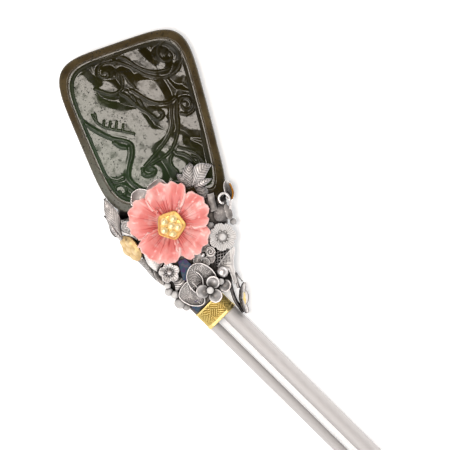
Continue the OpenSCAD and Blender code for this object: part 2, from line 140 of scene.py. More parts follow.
def oval(middle, across, along, level, count):
    """A level ring of points, by its middle and its half widths."""
    x = middle[0] + across * np.cos(turns(count))
    y = middle[1] + along * np.sin(turns(count))
    return np.stack([x, y, np.full(count, level)], -1)


def curve_through(points, steps):
    """Points of a smooth line through given points."""
    p = np.asarray(points, float)
    p = np.vstack([2 * p[0] - p[1], p, 2 * p[-1] - p[-2]])
    t = np.linspace(0, 1, steps, endpoint=False)[:, None]
    pieces = []
    for a, b, c, d in zip(p, p[1:], p[2:], p[3:]):
        bend = (2 * a - 5 * b + 4 * c - d) * t ** 2 + (3 * b - 3 * c + d - a) * t ** 3
        pieces.append(0.5 * (2 * b + (c - a) * t + bend))
    return np.vstack(pieces + [p[-2:-1]])


def resampled(line, count):
    """Evenly spaced points along a line of points."""
    run = np.concatenate([[0], np.cumsum(np.linalg.norm(np.diff(line, axis=0), axis=1))])
    at = np.linspace(0, run[-1], count)
    return np.stack([np.interp(at, run, line[:, k]) for k in range(line.shape[1])], -1)


def closed_line(points, count):
    """Evenly spaced points of a smooth closed line through given points, anticlockwise."""
    steps = 6
    line = curve_through(list(points) + list(points[:3]), steps)[steps:steps * (len(points) + 1) + 1]
    line = resampled(line, count + 1)[:-1]
    ahead = np.roll(line, -1, 0)
    area = np.sum(line[:, 0] * ahead[:, 1] - line[:, 1] * ahead[:, 0])
    return line if area > 0 else line[::-1]


def grid_quads(rows, cols, wrap=False):
    """Faces of a grid of points, rows by columns, that look along rows x columns."""
    i, j = np.meshgrid(np.arange(rows - 1), np.arange(cols if wrap else cols - 1), indexing="ij")
    k = (j + 1) % cols
    return np.stack([i * cols + j, (i + 1) * cols + j, (i + 1) * cols + k, i * cols + k], -1).reshape(-1, 4)


def bridge(first, second):
    """Faces between two closed loops of point numbers."""
    corners = zip(first, second, second[1:] + second[:1], first[1:] + first[:1])
    return [list(quad) for quad in corners]


def ring_numbers(row, cols):
    """The point numbers of one row of a grid."""
    return list(range(row * cols, (row + 1) * cols))


def border(rows, cols):
    """The point numbers round the edge of a grid."""
    down = [i * cols for i in range(rows)]
    across = [(rows - 1) * cols + j for j in range(1, cols)]
    up = [i * cols + cols - 1 for i in range(rows - 2, -1, -1)]
    return down + across + up + list(range(cols - 2, 0, -1))


def normals(grid, wrap=False):
    """Unit normals of a grid of points."""
    down = np.gradient(grid, axis=0)
    if wrap:
        across = np.roll(grid, -1, 1) - np.roll(grid, 1, 1)
    else:
        across = np.gradient(grid, axis=1)
    n = np.cross(down, across)
    return n / (np.linalg.norm(n, axis=-1, keepdims=True) + 1e-12)


def thick(grid, thickness, tone=0.0, wrap=False):
    """A closed sheet under a grid. Where it wraps, its first row is a small ring in the middle."""
    rows, cols = grid.shape[:2]
    count = rows * cols
    under = grid - normals(grid, wrap) * thickness
    top = grid_quads(rows, cols, wrap)
    loop = ring_numbers(rows - 1, cols) if wrap else border(rows, cols)
    edge = bridge(loop, [n + count for n in loop])
    caps = [ring_numbers(0, cols)[::-1], ring_numbers(rows, cols)] if wrap else []
    faces = top.tolist() + (top[:, ::-1] + count).tolist() + edge + caps
    tones = np.broadcast_to(tone, (rows, cols)).reshape(-1)
    return np.vstack([grid.reshape(-1, 3), under.reshape(-1, 3)]), faces, np.concatenate([tones, tones])


def loft(rings, tone=0.0):
    """A closed body through rings of points, with flat ends."""
    rings = np.asarray(rings, float)
    rows, cols = rings.shape[:2]
    faces = grid_quads(rows, cols, True).tolist()
    faces += [ring_numbers(0, cols), ring_numbers(rows - 1, cols)[::-1]]
    return rings.reshape(-1, 3), faces, np.broadcast_to(tone, (rows, cols)).reshape(-1)


def hoop(rings, tone=0.0):
    """A closed body through rings of points, whose last ring meets the first."""
    rows, cols = rings.shape[:2]
    faces = grid_quads(rows, cols, True).tolist()
    faces += bridge(ring_numbers(rows - 1, cols), ring_numbers(0, cols))
    return rings.reshape(-1, 3), faces, np.broadcast_to(tone, (rows, cols)).reshape(-1)


def tube(path, radius, sides=8, closed=False, tone=0.0):
    """A round wire along a path."""
    path = np.asarray(path, float)
    radii = np.broadcast_to(radius, len(path))[:, None]
    ahead = np.roll(path, -1, 0) - np.roll(path, 1, 0) if closed else np.gradient(path, axis=0)
    ahead /= np.linalg.norm(ahead, axis=1, keepdims=True) + 1e-12
    side = np.cross(ahead, [0.043, 0.031, 1.0])
    side /= np.linalg.norm(side, axis=1, keepdims=True) + 1e-12
    lift = np.cross(side, ahead)
    rings = np.stack([path + radii * (side * math.cos(a) + lift * math.sin(a)) for a in turns(sides)], 1)
    return hoop(rings, tone) if closed else loft(rings, tone)


def round_ball(detail):
    """Points and faces of a unit ball."""
    ball = bmesh.new()
    bmesh.ops.create_icosphere(ball, subdivisions=detail, radius=1)
    points = np.array([v.co[:] for v in ball.verts])
    faces = [[v.index for v in f.verts] for f in ball.faces]
    ball.free()
    return points, faces


COARSE, FINE = 2, 3
BALLS = {detail: round_ball(detail) for detail in (COARSE, FINE)}


def bead(middle, radius, tone=0.0, squash=1.0, detail=FINE):
    """A cast ball, a little uneven as such balls are."""
    points, faces = BALLS[detail]
    dent = 1 + 0.02 * np.sin(points[:, 0] * 5 + middle[0]) * np.cos(points[:, 1] * 4 + middle[1])
    shaped = points * dent[:, None] * np.array([radius, radius, radius * squash])
    return shaped + np.asarray(middle, float), faces, np.full(len(points), float(tone))


def pose(part, middle, heading=0.0, lean_x=0.0, lean_y=0.0):
    """A part turned by degrees about its own X, then Y, then Z, and put at a place."""
    turn = (Matrix.Rotation(math.radians(heading), 3, "Z") @ Matrix.Rotation(math.radians(lean_y), 3, "Y")
            @ Matrix.Rotation(math.radians(lean_x), 3, "X"))
    points, faces, tones = part
    return points @ np.array(turn).T + np.asarray(middle, float), faces, tones


def link(name, data):
    """An object of the scene that shows the data."""
    made = bpy.data.objects.new(name, data)
    bpy.context.scene.collection.objects.link(made)
    return made


def smooth(mesh):
    """Shades a mesh as one soft surface."""
    mesh.polygons.foreach_set("use_smooth", np.ones(len(mesh.polygons), bool))


def piece(name, parts, finish, place=place_head, stands_for=()):
    """Makes one object of the scene out of parts."""
    points, faces, tones, start = [], [], [], 0
    for p, f, t in parts:
        points.append(place(p))
        faces += [[i + start for i in face] for face in f]
        tones.append(t)
        start += len(p)
    mesh = bpy.data.meshes.new(name)
    mesh.from_pydata(np.vstack(points).tolist(), [], faces)
    work = bmesh.new()
    work.from_mesh(mesh)
    bmesh.ops.recalc_face_normals(work, faces=work.faces)
    work.to_mesh(mesh)
    work.free()
    smooth(mesh)
    tone = mesh.attributes.new("tone", "FLOAT", "POINT")
    tone.data.foreach_set("value", np.concatenate(tones).astype(np.float32))
    mesh.materials.append(finish)
    made = link(name, mesh)
    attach(made, "root")
    if stands_for:
        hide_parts(*stands_for)


# Materials

class Finish:
    """A node material under construction."""

    def __init__(self, name, **sockets):
        self.made = bpy.data.materials.new(name)
        self.made.use_nodes = True
        self.tree = self.made.node_tree
        self.shader = self.tree.nodes["Principled BSDF"]
        for socket, value in sockets.items():
            self.shader.inputs[socket.replace("_", " ")].default_value = value
        self.where = self.node("ShaderNodeTexCoord").outputs["Object"]

    def node(self, kind, links=None, **settings):
        made = self.tree.nodes.new(kind)
        for key, value in settings.items():
            setattr(made, key, value)
        for socket, source in (links or {}).items():
            self.give(made, socket, source)
        return made

    def give(self, made, socket, source):
        """Links a socket to another one, or sets it to a number or a colour."""
        if isinstance(source, bpy.types.NodeSocket):
            self.tree.links.new(source, made.inputs[socket])
        elif isinstance(source, tuple) and len(made.inputs[socket].default_value) == 4:
            made.inputs[socket].default_value = (*source, 1)
        else:
            made.inputs[socket].default_value = source

    def feed(self, socket, source):
        self.give(self.shader, socket, source)

    def noise(self, size, detail=3.0, rough=0.55):
        """Noise whose lumps are about that many millimetres across."""
        links = {"Vector": self.where, "Scale": 1 / (size * MM), "Detail": detail, "Roughness": rough}
        return self.node("ShaderNodeTexNoise", links).outputs["Fac"]

    def tone(self):
        return self.node("ShaderNodeAttribute", attribute_name="tone").outputs["Fac"]

    def crest(self):
        """0 in hollows to 1 on edges."""
        return self.node("ShaderNodeNewGeometry").outputs["Pointiness"]

    def ramp(self, source, *stops):
        """A colour or grey ramp: stops are (place, value)."""
        ramp = self.node("ShaderNodeValToRGB", {"Fac": source})
        elements = ramp.color_ramp.elements
        while len(elements) < len(stops):
            elements.new(0.5)
        for element, (at, value) in zip(elements, stops):
            element.position = at
            element.color = (*value, 1) if isinstance(value, tuple) else (value, value, value, 1)
        return ramp.outputs["Color"]

    def mix(self, share, a, b):
        return self.node("ShaderNodeMix", {0: share, 6: a, 7: b}, data_type="RGBA").outputs[2]

    def math(self, how, a, b):
        return self.node("ShaderNodeMath", {0: a, 1: b}, operation=how).outputs[0]

    def crevices(self, reach):
        """0 deep in corners to 1 in the open, within that many millimetres."""
        links = {"Distance": reach * MM}
        return self.node("ShaderNodeAmbientOcclusion", links, samples=8).outputs["AO"]

    def bump(self, source, height, strength=1.0):
        links = {"Height": source, "Distance": height * MM, "Strength": strength}
        self.feed("Normal", self.node("ShaderNodeBump", links).outputs["Normal"])


def jade_finish():
    """Dark jade with small pits: green low in the field, brown above and in the rim, greyer at its foot."""
    f = Finish("jade", IOR=1.5, Specular_IOR_Level=0.2, Subsurface_Weight=0.04, Subsurface_Scale=0.001,
               Subsurface_Radius=(0.5, 0.8, 0.25))
    green = f.ramp(f.noise(7, 4), (0.3, (0.011, 0.022, 0.008)), (0.7, (0.023, 0.042, 0.016)))
    olive = f.ramp(f.noise(6, 4), (0.3, (0.010, 0.0075, 0.0015)), (0.7, (0.020, 0.015, 0.0032)))
    brown = f.ramp(f.noise(5, 3), (0.3, (0.040, 0.027, 0.012)), (0.7, (0.080, 0.058, 0.028)))
    warmth = f.ramp(f.tone(), (0.0, 0.0), (0.5, 1.0))
    color = f.mix(f.ramp(f.tone(), (0.5, 0.0), (1.0, 1.0)), f.mix(warmth, green, olive), brown)
    color = f.mix(f.math("SUBTRACT", f.tone(), 1.0), color, (0.115, 0.115, 0.092))
    # Painted highlight: the convex crests of the carving get a lighter green.
    worn = f.mix(warmth, (0.046, 0.064, 0.034), (0.032, 0.025, 0.010))
    color = f.mix(f.ramp(f.crest(), (0.505, 0.0), (0.56, 0.8)), color, worn)
    specks = f.ramp(f.noise(0.5, 2), (0.61, 0.0), (0.67, 1.0))
    f.feed("Base Color", f.mix(specks, color, (0.004, 0.004, 0.003)))
    stains = f.ramp(f.noise(2.4, 5), (0.50, 0.12), (0.66, 0.30))
    f.feed("Roughness", f.math("ADD", stains, f.math("MULTIPLY", specks, 0.5)))
    f.bump(f.noise(1.1, 4), 0.022, 0.5)
    return f.made


def coral_finish():
    """Carved coral: deep at the petals' roots and pale at their edges, partly its own colour and partly
    painted shade and highlight, with soft pale patches of painted highlight.
    """
    f = Finish("coral", Roughness=0.36, Subsurface_Weight=0.15, Subsurface_Scale=0.0006,
               Subsurface_Radius=(1.0, 0.4, 0.3), Coat_Weight=0.25, Coat_Roughness=0.2)
    base = f.ramp(f.tone(), (0.0, (0.44, 0.050, 0.046)), (0.3, (0.65, 0.138, 0.124)),
                  (0.7, (0.73, 0.262, 0.236)), (1.0, (0.81, 0.54, 0.50)))
    # Painted highlight: soft pale patches of gloss on the petals.
    painted_highlight_patches = f.ramp(f.noise(4.0, 3), (0.50, 0.0), (0.68, 0.55))
    f.feed("Base Color", f.mix(painted_highlight_patches, base, (0.80, 0.53, 0.49)))
    f.bump(f.noise(0.6, 3), 0.02, 0.2)
    return f.made


def metal_finish(name, bright, dark, polish, reach, metallic=1.0):
    """Cast metal, dark in its corners and brighter where it rubs. The tone lifts or lowers it."""
    f = Finish(name, Metallic=metallic)
    open_to_rub = f.ramp(f.crevices(reach), (0.35, 0.0), (0.95, 1.0))
    edge = f.ramp(f.crest(), (0.46, 0.0), (0.55, 1.0))
    cloud = f.ramp(f.noise(1.2, 4), (0.25, 0.70), (0.75, 1.0))
    share = f.math("MULTIPLY", open_to_rub, f.math("ADD", f.math("MULTIPLY", edge, 0.5), 0.62))
    share = f.math("ADD", f.math("MULTIPLY", share, cloud), f.math("MULTIPLY", f.tone(), 0.5))
    f.feed("Base Color", f.mix(f.ramp(share, (0.0, 0.0), (1.0, 1.0)), dark, bright))
    f.feed("Roughness", f.ramp(share, (0.0, polish + 0.22), (0.8, polish)))
    f.bump(f.noise(0.35, 3), 0.02, 0.2)
    return f.made


def gold_finish(name, deep, body, pale, polish):
    """Satin gold, deeper in its hollows and paler where the tone is high, which on the bosses is a painted
    highlight.
    """
    f = Finish(name, Metallic=1.0)
    open_to_rub = f.ramp(f.crevices(0.7), (0.2, 0.25), (0.9, 0.7))
    share = f.math("ADD", open_to_rub, f.math("MULTIPLY", f.tone(), 0.5))
    f.feed("Base Color", f.ramp(share, (0.0, deep), (0.6, body), (1.0, pale)))
    f.feed("Roughness", f.ramp(f.noise(0.9, 3), (0.3, polish), (0.7, polish + 0.08)))
    return f.made


def satin_finish(name, shade):
    """Satin silver with fine brushing along the prongs."""
    f = Finish(name, Metallic=0.35)
    stretch = f.node("ShaderNodeMapping", {"Vector": f.where, "Scale": (1.0, 0.06, 1.0)}).outputs["Vector"]
    lines = f.node("ShaderNodeTexNoise", {"Vector": stretch, "Scale": 9000.0, "Detail": 3.0}).outputs["Fac"]
    deep = (0.50 * shade, 0.475 * shade, 0.465 * shade)
    pale = (0.58 * shade, 0.555 * shade, 0.545 * shade)
    f.feed("Base Color", f.ramp(lines, (0.3, deep), (0.7, pale)))
    f.feed("Roughness", f.ramp(lines, (0.3, 0.55), (0.7, 0.65)))
    f.bump(lines, 0.01, 0.15)
    return f.made


def shell_finish():
    """Iridescent shell in blue, violet and green."""
    f = Finish("shell", Roughness=0.5, Specular_IOR_Level=0.2, Metallic=0.1)
    wave = f.noise(1.5, 3)
    f.feed("Base Color", f.ramp(wave, (0.34, (0.014, 0.024, 0.095)), (0.46, (0.070, 0.030, 0.11)),
                                (0.56, (0.016, 0.065, 0.10)), (0.68, (0.10, 0.08, 0.12))))
    f.bump(wave, 0.06, 0.4)
    return f.made


def table_finish():
    """A pale table top, faintly lit from below as a light table is."""
    f = Finish("pale_table", Roughness=0.7, Base_Color=(0.9, 0.9, 0.9, 1), Emission_Color=(1, 1, 1, 1),
               Emission_Strength=0.32)
    return f.made


JADE = jade_finish()
CORAL = coral_finish()
SILVER = metal_finish("cast_silver", bright=(0.70, 0.665, 0.65), dark=(0.022, 0.019, 0.018),
                      polish=0.40, reach=1.6)
BRIGHT_SILVER = metal_finish("bright_silver", bright=(0.74, 0.715, 0.70), dark=(0.09, 0.085, 0.08),
                             polish=0.52, reach=0.9, metallic=0.75)
WORN_SILVER = metal_finish("worn_silver", bright=(0.66, 0.64, 0.625), dark=(0.15, 0.14, 0.135),
                           polish=0.66, reach=0.7, metallic=0.45)
DARK_SILVER = metal_finish("dark_silver", bright=(0.16, 0.145, 0.135), dark=(0.010, 0.009, 0.008),
                           polish=0.45, reach=2.2)
GOLD = gold_finish("gold", deep=(0.26, 0.11, 0.015), body=(0.70, 0.41, 0.115),
                   pale=(0.88, 0.69, 0.36), polish=0.40)
PALE_GOLD = gold_finish("pale_gold", deep=(0.22, 0.12, 0.03), body=(0.54, 0.35, 0.145),
                        pale=(0.72, 0.56, 0.33), polish=0.42)
COLLAR_GOLD = gold_finish("collar_gold", deep=(0.16, 0.10, 0.015), body=(0.62, 0.45, 0.13),
                          pale=(0.80, 0.64, 0.26), polish=0.32)
SATIN = satin_finish("satin_silver", 0.94)
# Painted shade: the slim prong gets a darker copy of the same satin silver.
SATIN_SLIM_SHADED = satin_finish("satin_silver_slim_shaded", 0.87)
SHELL = shell_finish()


# Jade plaque

# Distance from the outline, and height of the rim and the step inside it above the plaque's top
RIM_PROFILE = [(0, -0.95), (0.08, -0.66), (0.3, -0.44), (0.8, -0.26), (1.3, -0.12), (1.62, -0.03),
               (1.74, 0), (1.82, -0.14), (1.9, -0.26), (1.96, -0.28), (2.36, -0.28), (2.44, -0.36),
               (2.5, -0.4), (2.64, -0.4), (2.74, -0.5), (2.9, -0.7), (3.1, -0.8), (4.1, -0.8)]

# Sides and back of the plaque: distance inward from the outline, and level
PLAQUE_SIDES = [(0.0, PLAQUE_TOP - 1.6), (0.0, PLAQUE_BOTTOM + 1.6), (0.25, PLAQUE_BOTTOM + 0.5),
                (0.9, PLAQUE_BOTTOM)]

# Carved lines on the field: half width, height, then points in millimetres from the plaque's middle
CARVING = [
    (0.45, 0.6, [(-6, 16), (-5.4, 16.8), (-4.3, 17), (-2.7, 16.6), (-0.8, 16), (2, 13.7), (4.5, 11),
        (7.5, 9.2), (10, 8.8), (12.4, 9.6), (14, 11.5), (14.6, 14), (13.6, 16.2), (11.6, 17.3), (9.7, 16.4),
        (9, 14.5), (9.8, 12.8), (11.2, 12.4), (12.1, 13.2), (11.6, 14.4), (10.8, 14.2)]),
    (0.42, 0.5, [(-5, 17.9), (-3.3, 18.2), (-1.3, 17.8), (0.7, 16.7), (3.1, 13.6), (4.8, 12.1), (6.8, 10.9),
        (9, 10.5), (10.6, 10.6)]),
    (0.36, 0.5, [(-6.2, 16), (-6.5, 14.8), (-5.8, 13.7), (-4.7, 13.5), (-4.3, 14.3), (-5, 14.9)]),
    (0.42, 0.6, [(-8.5, 11.6), (-7, 10.4), (-5.4, 9.3), (-3.8, 9), (-2.3, 9.6), (-1.5, 11), (-1.3, 12.6),
        (-1.9, 13.5), (-2.6, 13)]),
    (0.4, 0.6, [(-1.2, 13.3), (-0.4, 12), (0.1, 10.4), (1, 8.8)]),
    (0.5, 0.6, [(-2.8, 8.6), (-1.7, 7.4), (-0.7, 5.6), (0.4, 3.7), (1.8, 2.1), (2.8, 0.8), (3.6, -0.4),
        (4.8, -0.3), (5.4, 0.6), (4.9, 1.3)]),
    (0.6, 0.55, [(0, 8.5), (1.7, 6.4), (3.4, 4.5), (5.4, 3.2), (7.6, 2.8), (9.6, 3.2)]),
    (0.3, 0.45, [(-0.3, 7.2), (0.1, 5.6)]),
    (0.3, 0.45, [(0.9, 5.6), (1.3, 3.9)]),
    (0.36, 0.6, [(10.1, 1.6), (11.2, 2.5), (12.5, 1.9), (12.9, 0.6), (12.1, -0.4), (10.9, -0.3),
        (10.5, 0.7)]),
    (0.42, 0.5, [(13.6, 1.3), (13.5, -0.3), (12.5, -1.3), (11, -1.6), (9.7, -0.9)]),
    (0.5, 0.55, [(9.9, 2.3), (9.2, 0.6), (8.6, -1.2), (8.3, -2.8), (7.4, -5), (6.1, -7.1), (4.4, -8.8),
        (2.1, -9.8), (-0.1, -10.2), (-2, -10.7)]),
    (0.44, 0.55, [(8.2, 1.6), (7.4, -0.4), (6.9, -2.4), (5.9, -4.2), (4.2, -5.9), (2.3, -7.3), (0.2, -8.5),
        (-1.6, -9.6), (-3, -10.4)]),
    (0.62, 0.5, [(-3.8, -10.9), (-4, -12), (-3.2, -12.8), (-1.9, -12.9), (-1.1, -12.1), (-1.7, -11.3)]),
    (0.3, 0.36, [(-11.3, 5.8), (-10.9, 3.9), (-9.8, 2.3), (-7.8, 0.9), (-5.3, -0.5), (-3, -1.9)]),
    (0.28, 0.36, [(-10.9, 4), (-10.6, 5.8)]),
    (0.28, 0.36, [(-9.7, 2.2), (-9, 3.5)]),
    (0.28, 0.36, [(-8.3, 1.4), (-7.6, 2.8)]),
    (0.28, 0.36, [(-6.9, 0.6), (-6.1, 2.3)]),
    (0.24, 0.36, [(-5.4, -0.2), (-4.8, 1.1)]),
    (0.62, 0.55, [(-14.7, 6.4), (-14, 4.8), (-12.4, 2.7), (-10.5, 0.6), (-8.5, -1.2), (-6.3, -2.5),
        (-4.9, -3.6), (-4.6, -4.9), (-5.2, -6.8), (-6.3, -8.5), (-7.3, -10.2), (-7.7, -12), (-7.1, -13.8),
        (-5.9, -15.3)]),
    (0.5, 0.45, [(-8.4, -2.4), (-7.3, -3.8), (-5.9, -4.7)]),
    (0.5, 0.5, [(-15, 2.8), (-15, -0.4), (-14.4, -3.6), (-13.9, -6.7), (-13.4, -9.2), (-12.3, -10.9),
        (-10.7, -11.8), (-9.1, -11.7)]),
    (0.36, 0.55, [(-12.3, -13.9), (-11.5, -12.8), (-10.1, -12.9), (-9.3, -14.1), (-9.8, -15.3),
        (-10.9, -15.2), (-11.1, -14.4)]),
    (0.42, 0.5, [(-10.1, -12.7), (-8.8, -14), (-7.7, -15.6), (-7, -17.4)]),
    (0.42, 0.55, [(5.6, -9.8), (7.1, -10.6), (8.4, -11.9), (9.1, -13.1), (10, -13.2), (9.9, -12.2),
        (8.9, -11.6)]),
    (0.36, 0.5, [(6.6, -8.7), (8.2, -9.8), (9.8, -11.1), (10.8, -12.7), (11, -14.1)]),
    (0.42, 0.5, [(4.4, -9.7), (3.4, -11.1), (3.4, -12.8), (4.1, -14.2), (3.9, -15.7)])]

# Polished flats of the field, as outlines in head millimetres: the ground falls away from them all round
FLATS = [
    [(-10.9, 66.4), (-13.7, 64), (-14.2, 60), (-14.1, 56), (-12.9, 54), (-10.8, 52), (-8, 50), (-5.4, 48.6),
     (-4, 47), (-4.4, 45.4), (-5.4, 43), (-6.5, 40.8), (-7.2, 38.4), (-6.9, 36.6), (-5.6, 35.2),
     (-3.4, 34.8), (-0.6, 35.6), (0.3, 36.8), (0.2, 38.2), (-1, 39.2), (-2.2, 39), (-1, 38.1), (-1.3, 37.1),
     (-2.6, 36.6), (-4, 37.2), (-4.9, 38.6), (-4.5, 39.8), (-3, 40.4), (-1.2, 40.9), (-0.4, 42),
     (-0.4, 43.4), (1, 44.6), (3, 45.2), (4.7, 46.2), (3.2, 47.2), (1.5, 48), (0.9, 49.8), (0.3, 52),
     (-0.5, 53.8), (-2, 54.1), (-3.8, 54.4), (-5.6, 55.4), (-7.6, 56.8), (-8.9, 58.2), (-9.3, 60),
     (-8.9, 61.6), (-8.6, 62.6), (-9.7, 64.4)],
    [(-14.4, 53.2), (-14.6, 50), (-14.3, 47), (-13.8, 43.8), (-12.9, 41.2), (-11.2, 39.9), (-9.6, 39.8),
     (-8.2, 41), (-7.2, 43), (-6.3, 44.8), (-7.6, 46.2), (-8.6, 48), (-9.6, 50), (-11.6, 51.8)],
    [(-6, 63.1), (-4.8, 62.4), (-4, 61), (-3.5, 59.9), (-4.8, 59.9), (-6.2, 60.7), (-7.8, 61.8),
     (-6.4, 62.1)],
    [(-5.4, 65.4), (-4.8, 65.2), (-4.1, 64.3), (-4.4, 63.9), (-5.1, 64.6)],
    [(-1.1, 63.1), (-0.7, 62.9), (-0.3, 61.7), (0.5, 60.1), (0.1, 59.8), (-0.6, 60.6), (-0.9, 61.8)],
    [(1.2, 68.3), (4.1, 68.4), (4.8, 66.9), (5.6, 65.2), (6.5, 63.6), (7.5, 62.2), (7, 61.6), (5.8, 62.8),
     (4.6, 64.6), (3.5, 65.8), (1.7, 66.3)],
    [(8.2, 62.6), (9.2, 63), (9.2, 64.8), (9.8, 65), (9.9, 63), (9.6, 61.8), (8.6, 61.6)],
    [(2.2, 60.2), (4, 60), (5.7, 59.3), (6.3, 58), (6.9, 55.2), (6.6, 54.1), (5.2, 54.6), (3.8, 56),
     (2.4, 57.8), (1.9, 59.2)],
    [(-1.9, 58.8), (-1.4, 58.8), (-1, 57.8), (-0.2, 56.3), (-0.5, 55.4), (-1.2, 56.2), (-1.8, 57.6)],
    [(3.2, 51.8), (4.4, 51.7), (5.2, 52), (6.6, 51.5), (6.4, 50.6), (5.4, 50.2), (3.7, 50.5)],
    [(4, 49.2), (5.2, 50), (5.9, 48.9), (5.4, 47), (4.6, 47.4)],
    [(9, 49.6), (10.4, 51.2), (11.6, 51.4), (10.4, 49.8), (11, 48.2), (12.8, 48.8), (14.1, 49.6),
     (14, 46.4), (13.6, 44), (12.4, 44.4), (10.2, 45.4), (9.2, 47.2)],
    [(12.2, 58.5), (12.8, 59.8), (14.4, 60), (14.8, 57.4), (14.4, 56.6), (13.8, 58.4)],
    [(6.2, 41.2), (7, 42), (7.6, 44), (8.1, 44.2), (7.6, 42), (9, 40.2), (10.3, 38.9), (10.9, 36.8),
     (10.5, 36.6), (9.6, 38.4), (7.8, 39.9)],
    [(3.1, 39.8), (4.4, 39.6), (5.6, 38.6), (6.6, 37.2), (6, 36.2), (4.8, 35.6), (3.8, 36.2), (3.1, 38.4)],
    [(3.9, 43.3), (5.4, 44.3), (5.6, 43.2), (4.6, 42.8)],
    [(2.5, 42.1), (3.5, 42.4), (3.7, 41.8), (2.9, 41.6)],
    [(-11.9, 36.5), (-11.4, 37.3), (-10.5, 36.9), (-10.1, 35.9), (-10.9, 35.3), (-11.7, 35.6)],
    [(-9.9, 37), (-9.1, 36.8), (-8.3, 35.6), (-8, 34.4), (-8.7, 34.9), (-9.3, 36)]]

# The ground between the flats: its slope, how far it falls before it rises again, and how softly it starts
FALL = 0.14
FALL_REACH = 2.2
FLAT_EDGE = 0.3

# Carved lines: the share of their height that they keep, how far their sides spread, and how steep they end
RELIEF = 0.45
RIDGE_SPREAD = 1.5
RIDGE_POWER = 2.4

# Distances from the outline over which the carving and the ground set in, and over which the rim's tone ends
CARVING_SETS_IN = (2.2, 3.0)
GROUND_SETS_IN = (3.0, 3.5)
RIM_TONE_ENDS = (1.6, 2.4)

# How far the lower right corner reaches down and aside
LOW_CORNER_DROP = 5.0
LOW_CORNER_SHIFT = 0.4


def plaque_points(a, b):
    """Places on the plaque for squares a, b from -1 to 1, and their distance from the outline."""
    ring = np.maximum(np.abs(a), np.abs(b))
    power = OUTLINE_POWER
    squeeze = ring / np.maximum((np.abs(a) ** power + np.abs(b) ** power) ** (1 / power), 1e-9)
    inset = HALF_WIDTH * (1 - ring)
    near = step(0.5, 0.8, ring)
    long = HALF_LENGTH * (1 - near) * ring + near * (HALF_LENGTH - inset)
    y = b * squeeze / np.maximum(ring, 1e-9) * long
    half = HALF_WIDTH * (PLAQUE_TAPER + (1 - PLAQUE_TAPER) * (y / (2 * HALF_LENGTH) + 0.5))
    wide = half * (1 - near) * ring + near * (half - inset)
    return a * squeeze / np.maximum(ring, 1e-9) * wide, y, inset


def distance_to(line, x, y):
    """Distances from places to a line of points."""
    best = np.full(x.shape, 1e9)
    for (x0, y0), (x1, y1) in zip(line, line[1:]):
        run = max((x1 - x0) ** 2 + (y1 - y0) ** 2, 1e-9)
        t = np.clip(((x - x0) * (x1 - x0) + (y - y0) * (y1 - y0)) / run, 0, 1)
        best = np.minimum(best, (x - x0 - t * (x1 - x0)) ** 2 + (y - y0 - t * (y1 - y0)) ** 2)
    return np.sqrt(best)


def inside_of(line, x, y):
    """Whether places lie inside a closed line of points."""
    inside = np.zeros(x.shape, bool)
    for (x0, y0), (x1, y1) in zip(line, line[1:]):
        if y0 != y1:
            inside ^= ((y0 > y) != (y1 > y)) & (x < (x1 - x0) * (y - y0) / (y1 - y0) + x0)
    return inside


def rim_height(inset):
    """Height of the rim, with its corners worn round."""
    worn = 5
    fine = np.linspace(0, RIM_PROFILE[-1][0], 600)
    profile = np.pad(np.interp(fine, *np.transpose(RIM_PROFILE)), worn, "edge")
    window = 2 * worn + 1
    return np.interp(inset, fine, np.convolve(profile, np.ones(window) / window, "valid"))


def ground_height(x, y):
    """Height of the field: it falls away from the polished flats and rises again further off."""
    away = np.full(x.shape, 1e9)
    for flat in FLATS:
        line = closed_line(flat, 3 * len(flat)) - np.array([0, PLAQUE_MIDDLE])
        line = np.vstack([line, line[:1]])
        gap = distance_to(line, x, y)
        gap[inside_of(line, x, y)] = 0
        away = np.minimum(away, gap)
    wave = FALL_REACH - np.abs(away % (2 * FALL_REACH) - FALL_REACH)
    return -FALL * (np.hypot(wave, FLAT_EDGE) - FLAT_EDGE)


def carved_height(x, y):
    """Height of the relief above the field: ridges with gentle sides and a steep crest."""
    height = np.zeros_like(x)
    for wide, high, points in CARVING:
        line = curve_through(points, 10)
        reach = wide * RIDGE_SPREAD
        near = ((x > line[:, 0].min() - reach) & (x < line[:, 0].max() + reach)
                & (y > line[:, 1].min() - reach) & (y < line[:, 1].max() + reach))
        best = distance_to(line, x[near], y[near])
        ridge = RELIEF * high * np.clip(1 - best / reach, 0, 1) ** RIDGE_POWER
        height[near] = np.maximum(height[near], ridge)
    return height


def closer_at_rim(count):
    """Shares from -1 to 1 that lie closer together near both ends."""
    even = np.linspace(-1, 1, count)
    return np.sign(even) * np.interp(np.abs(even), (0, 0.7, 1), (0, 0.77, 1))


def plaque_tone(x, y, inset, low_corner):
    """0 green, 0.5 olive, 1 brown, and above 1 the greyer rim at the lower left."""
    rim = 1 - step(*RIM_TONE_ENDS, inset)
    warm = 0.5 * step(-13, 8, x * 0.8 + y * 0.6)
    hazy = rim * (1 - step(-17, 4, y + 0.3 * x)) * (1 - step(-9, 5, x))
    return warm + (1 - warm) * rim * (1 - 0.6 * low_corner) + hazy


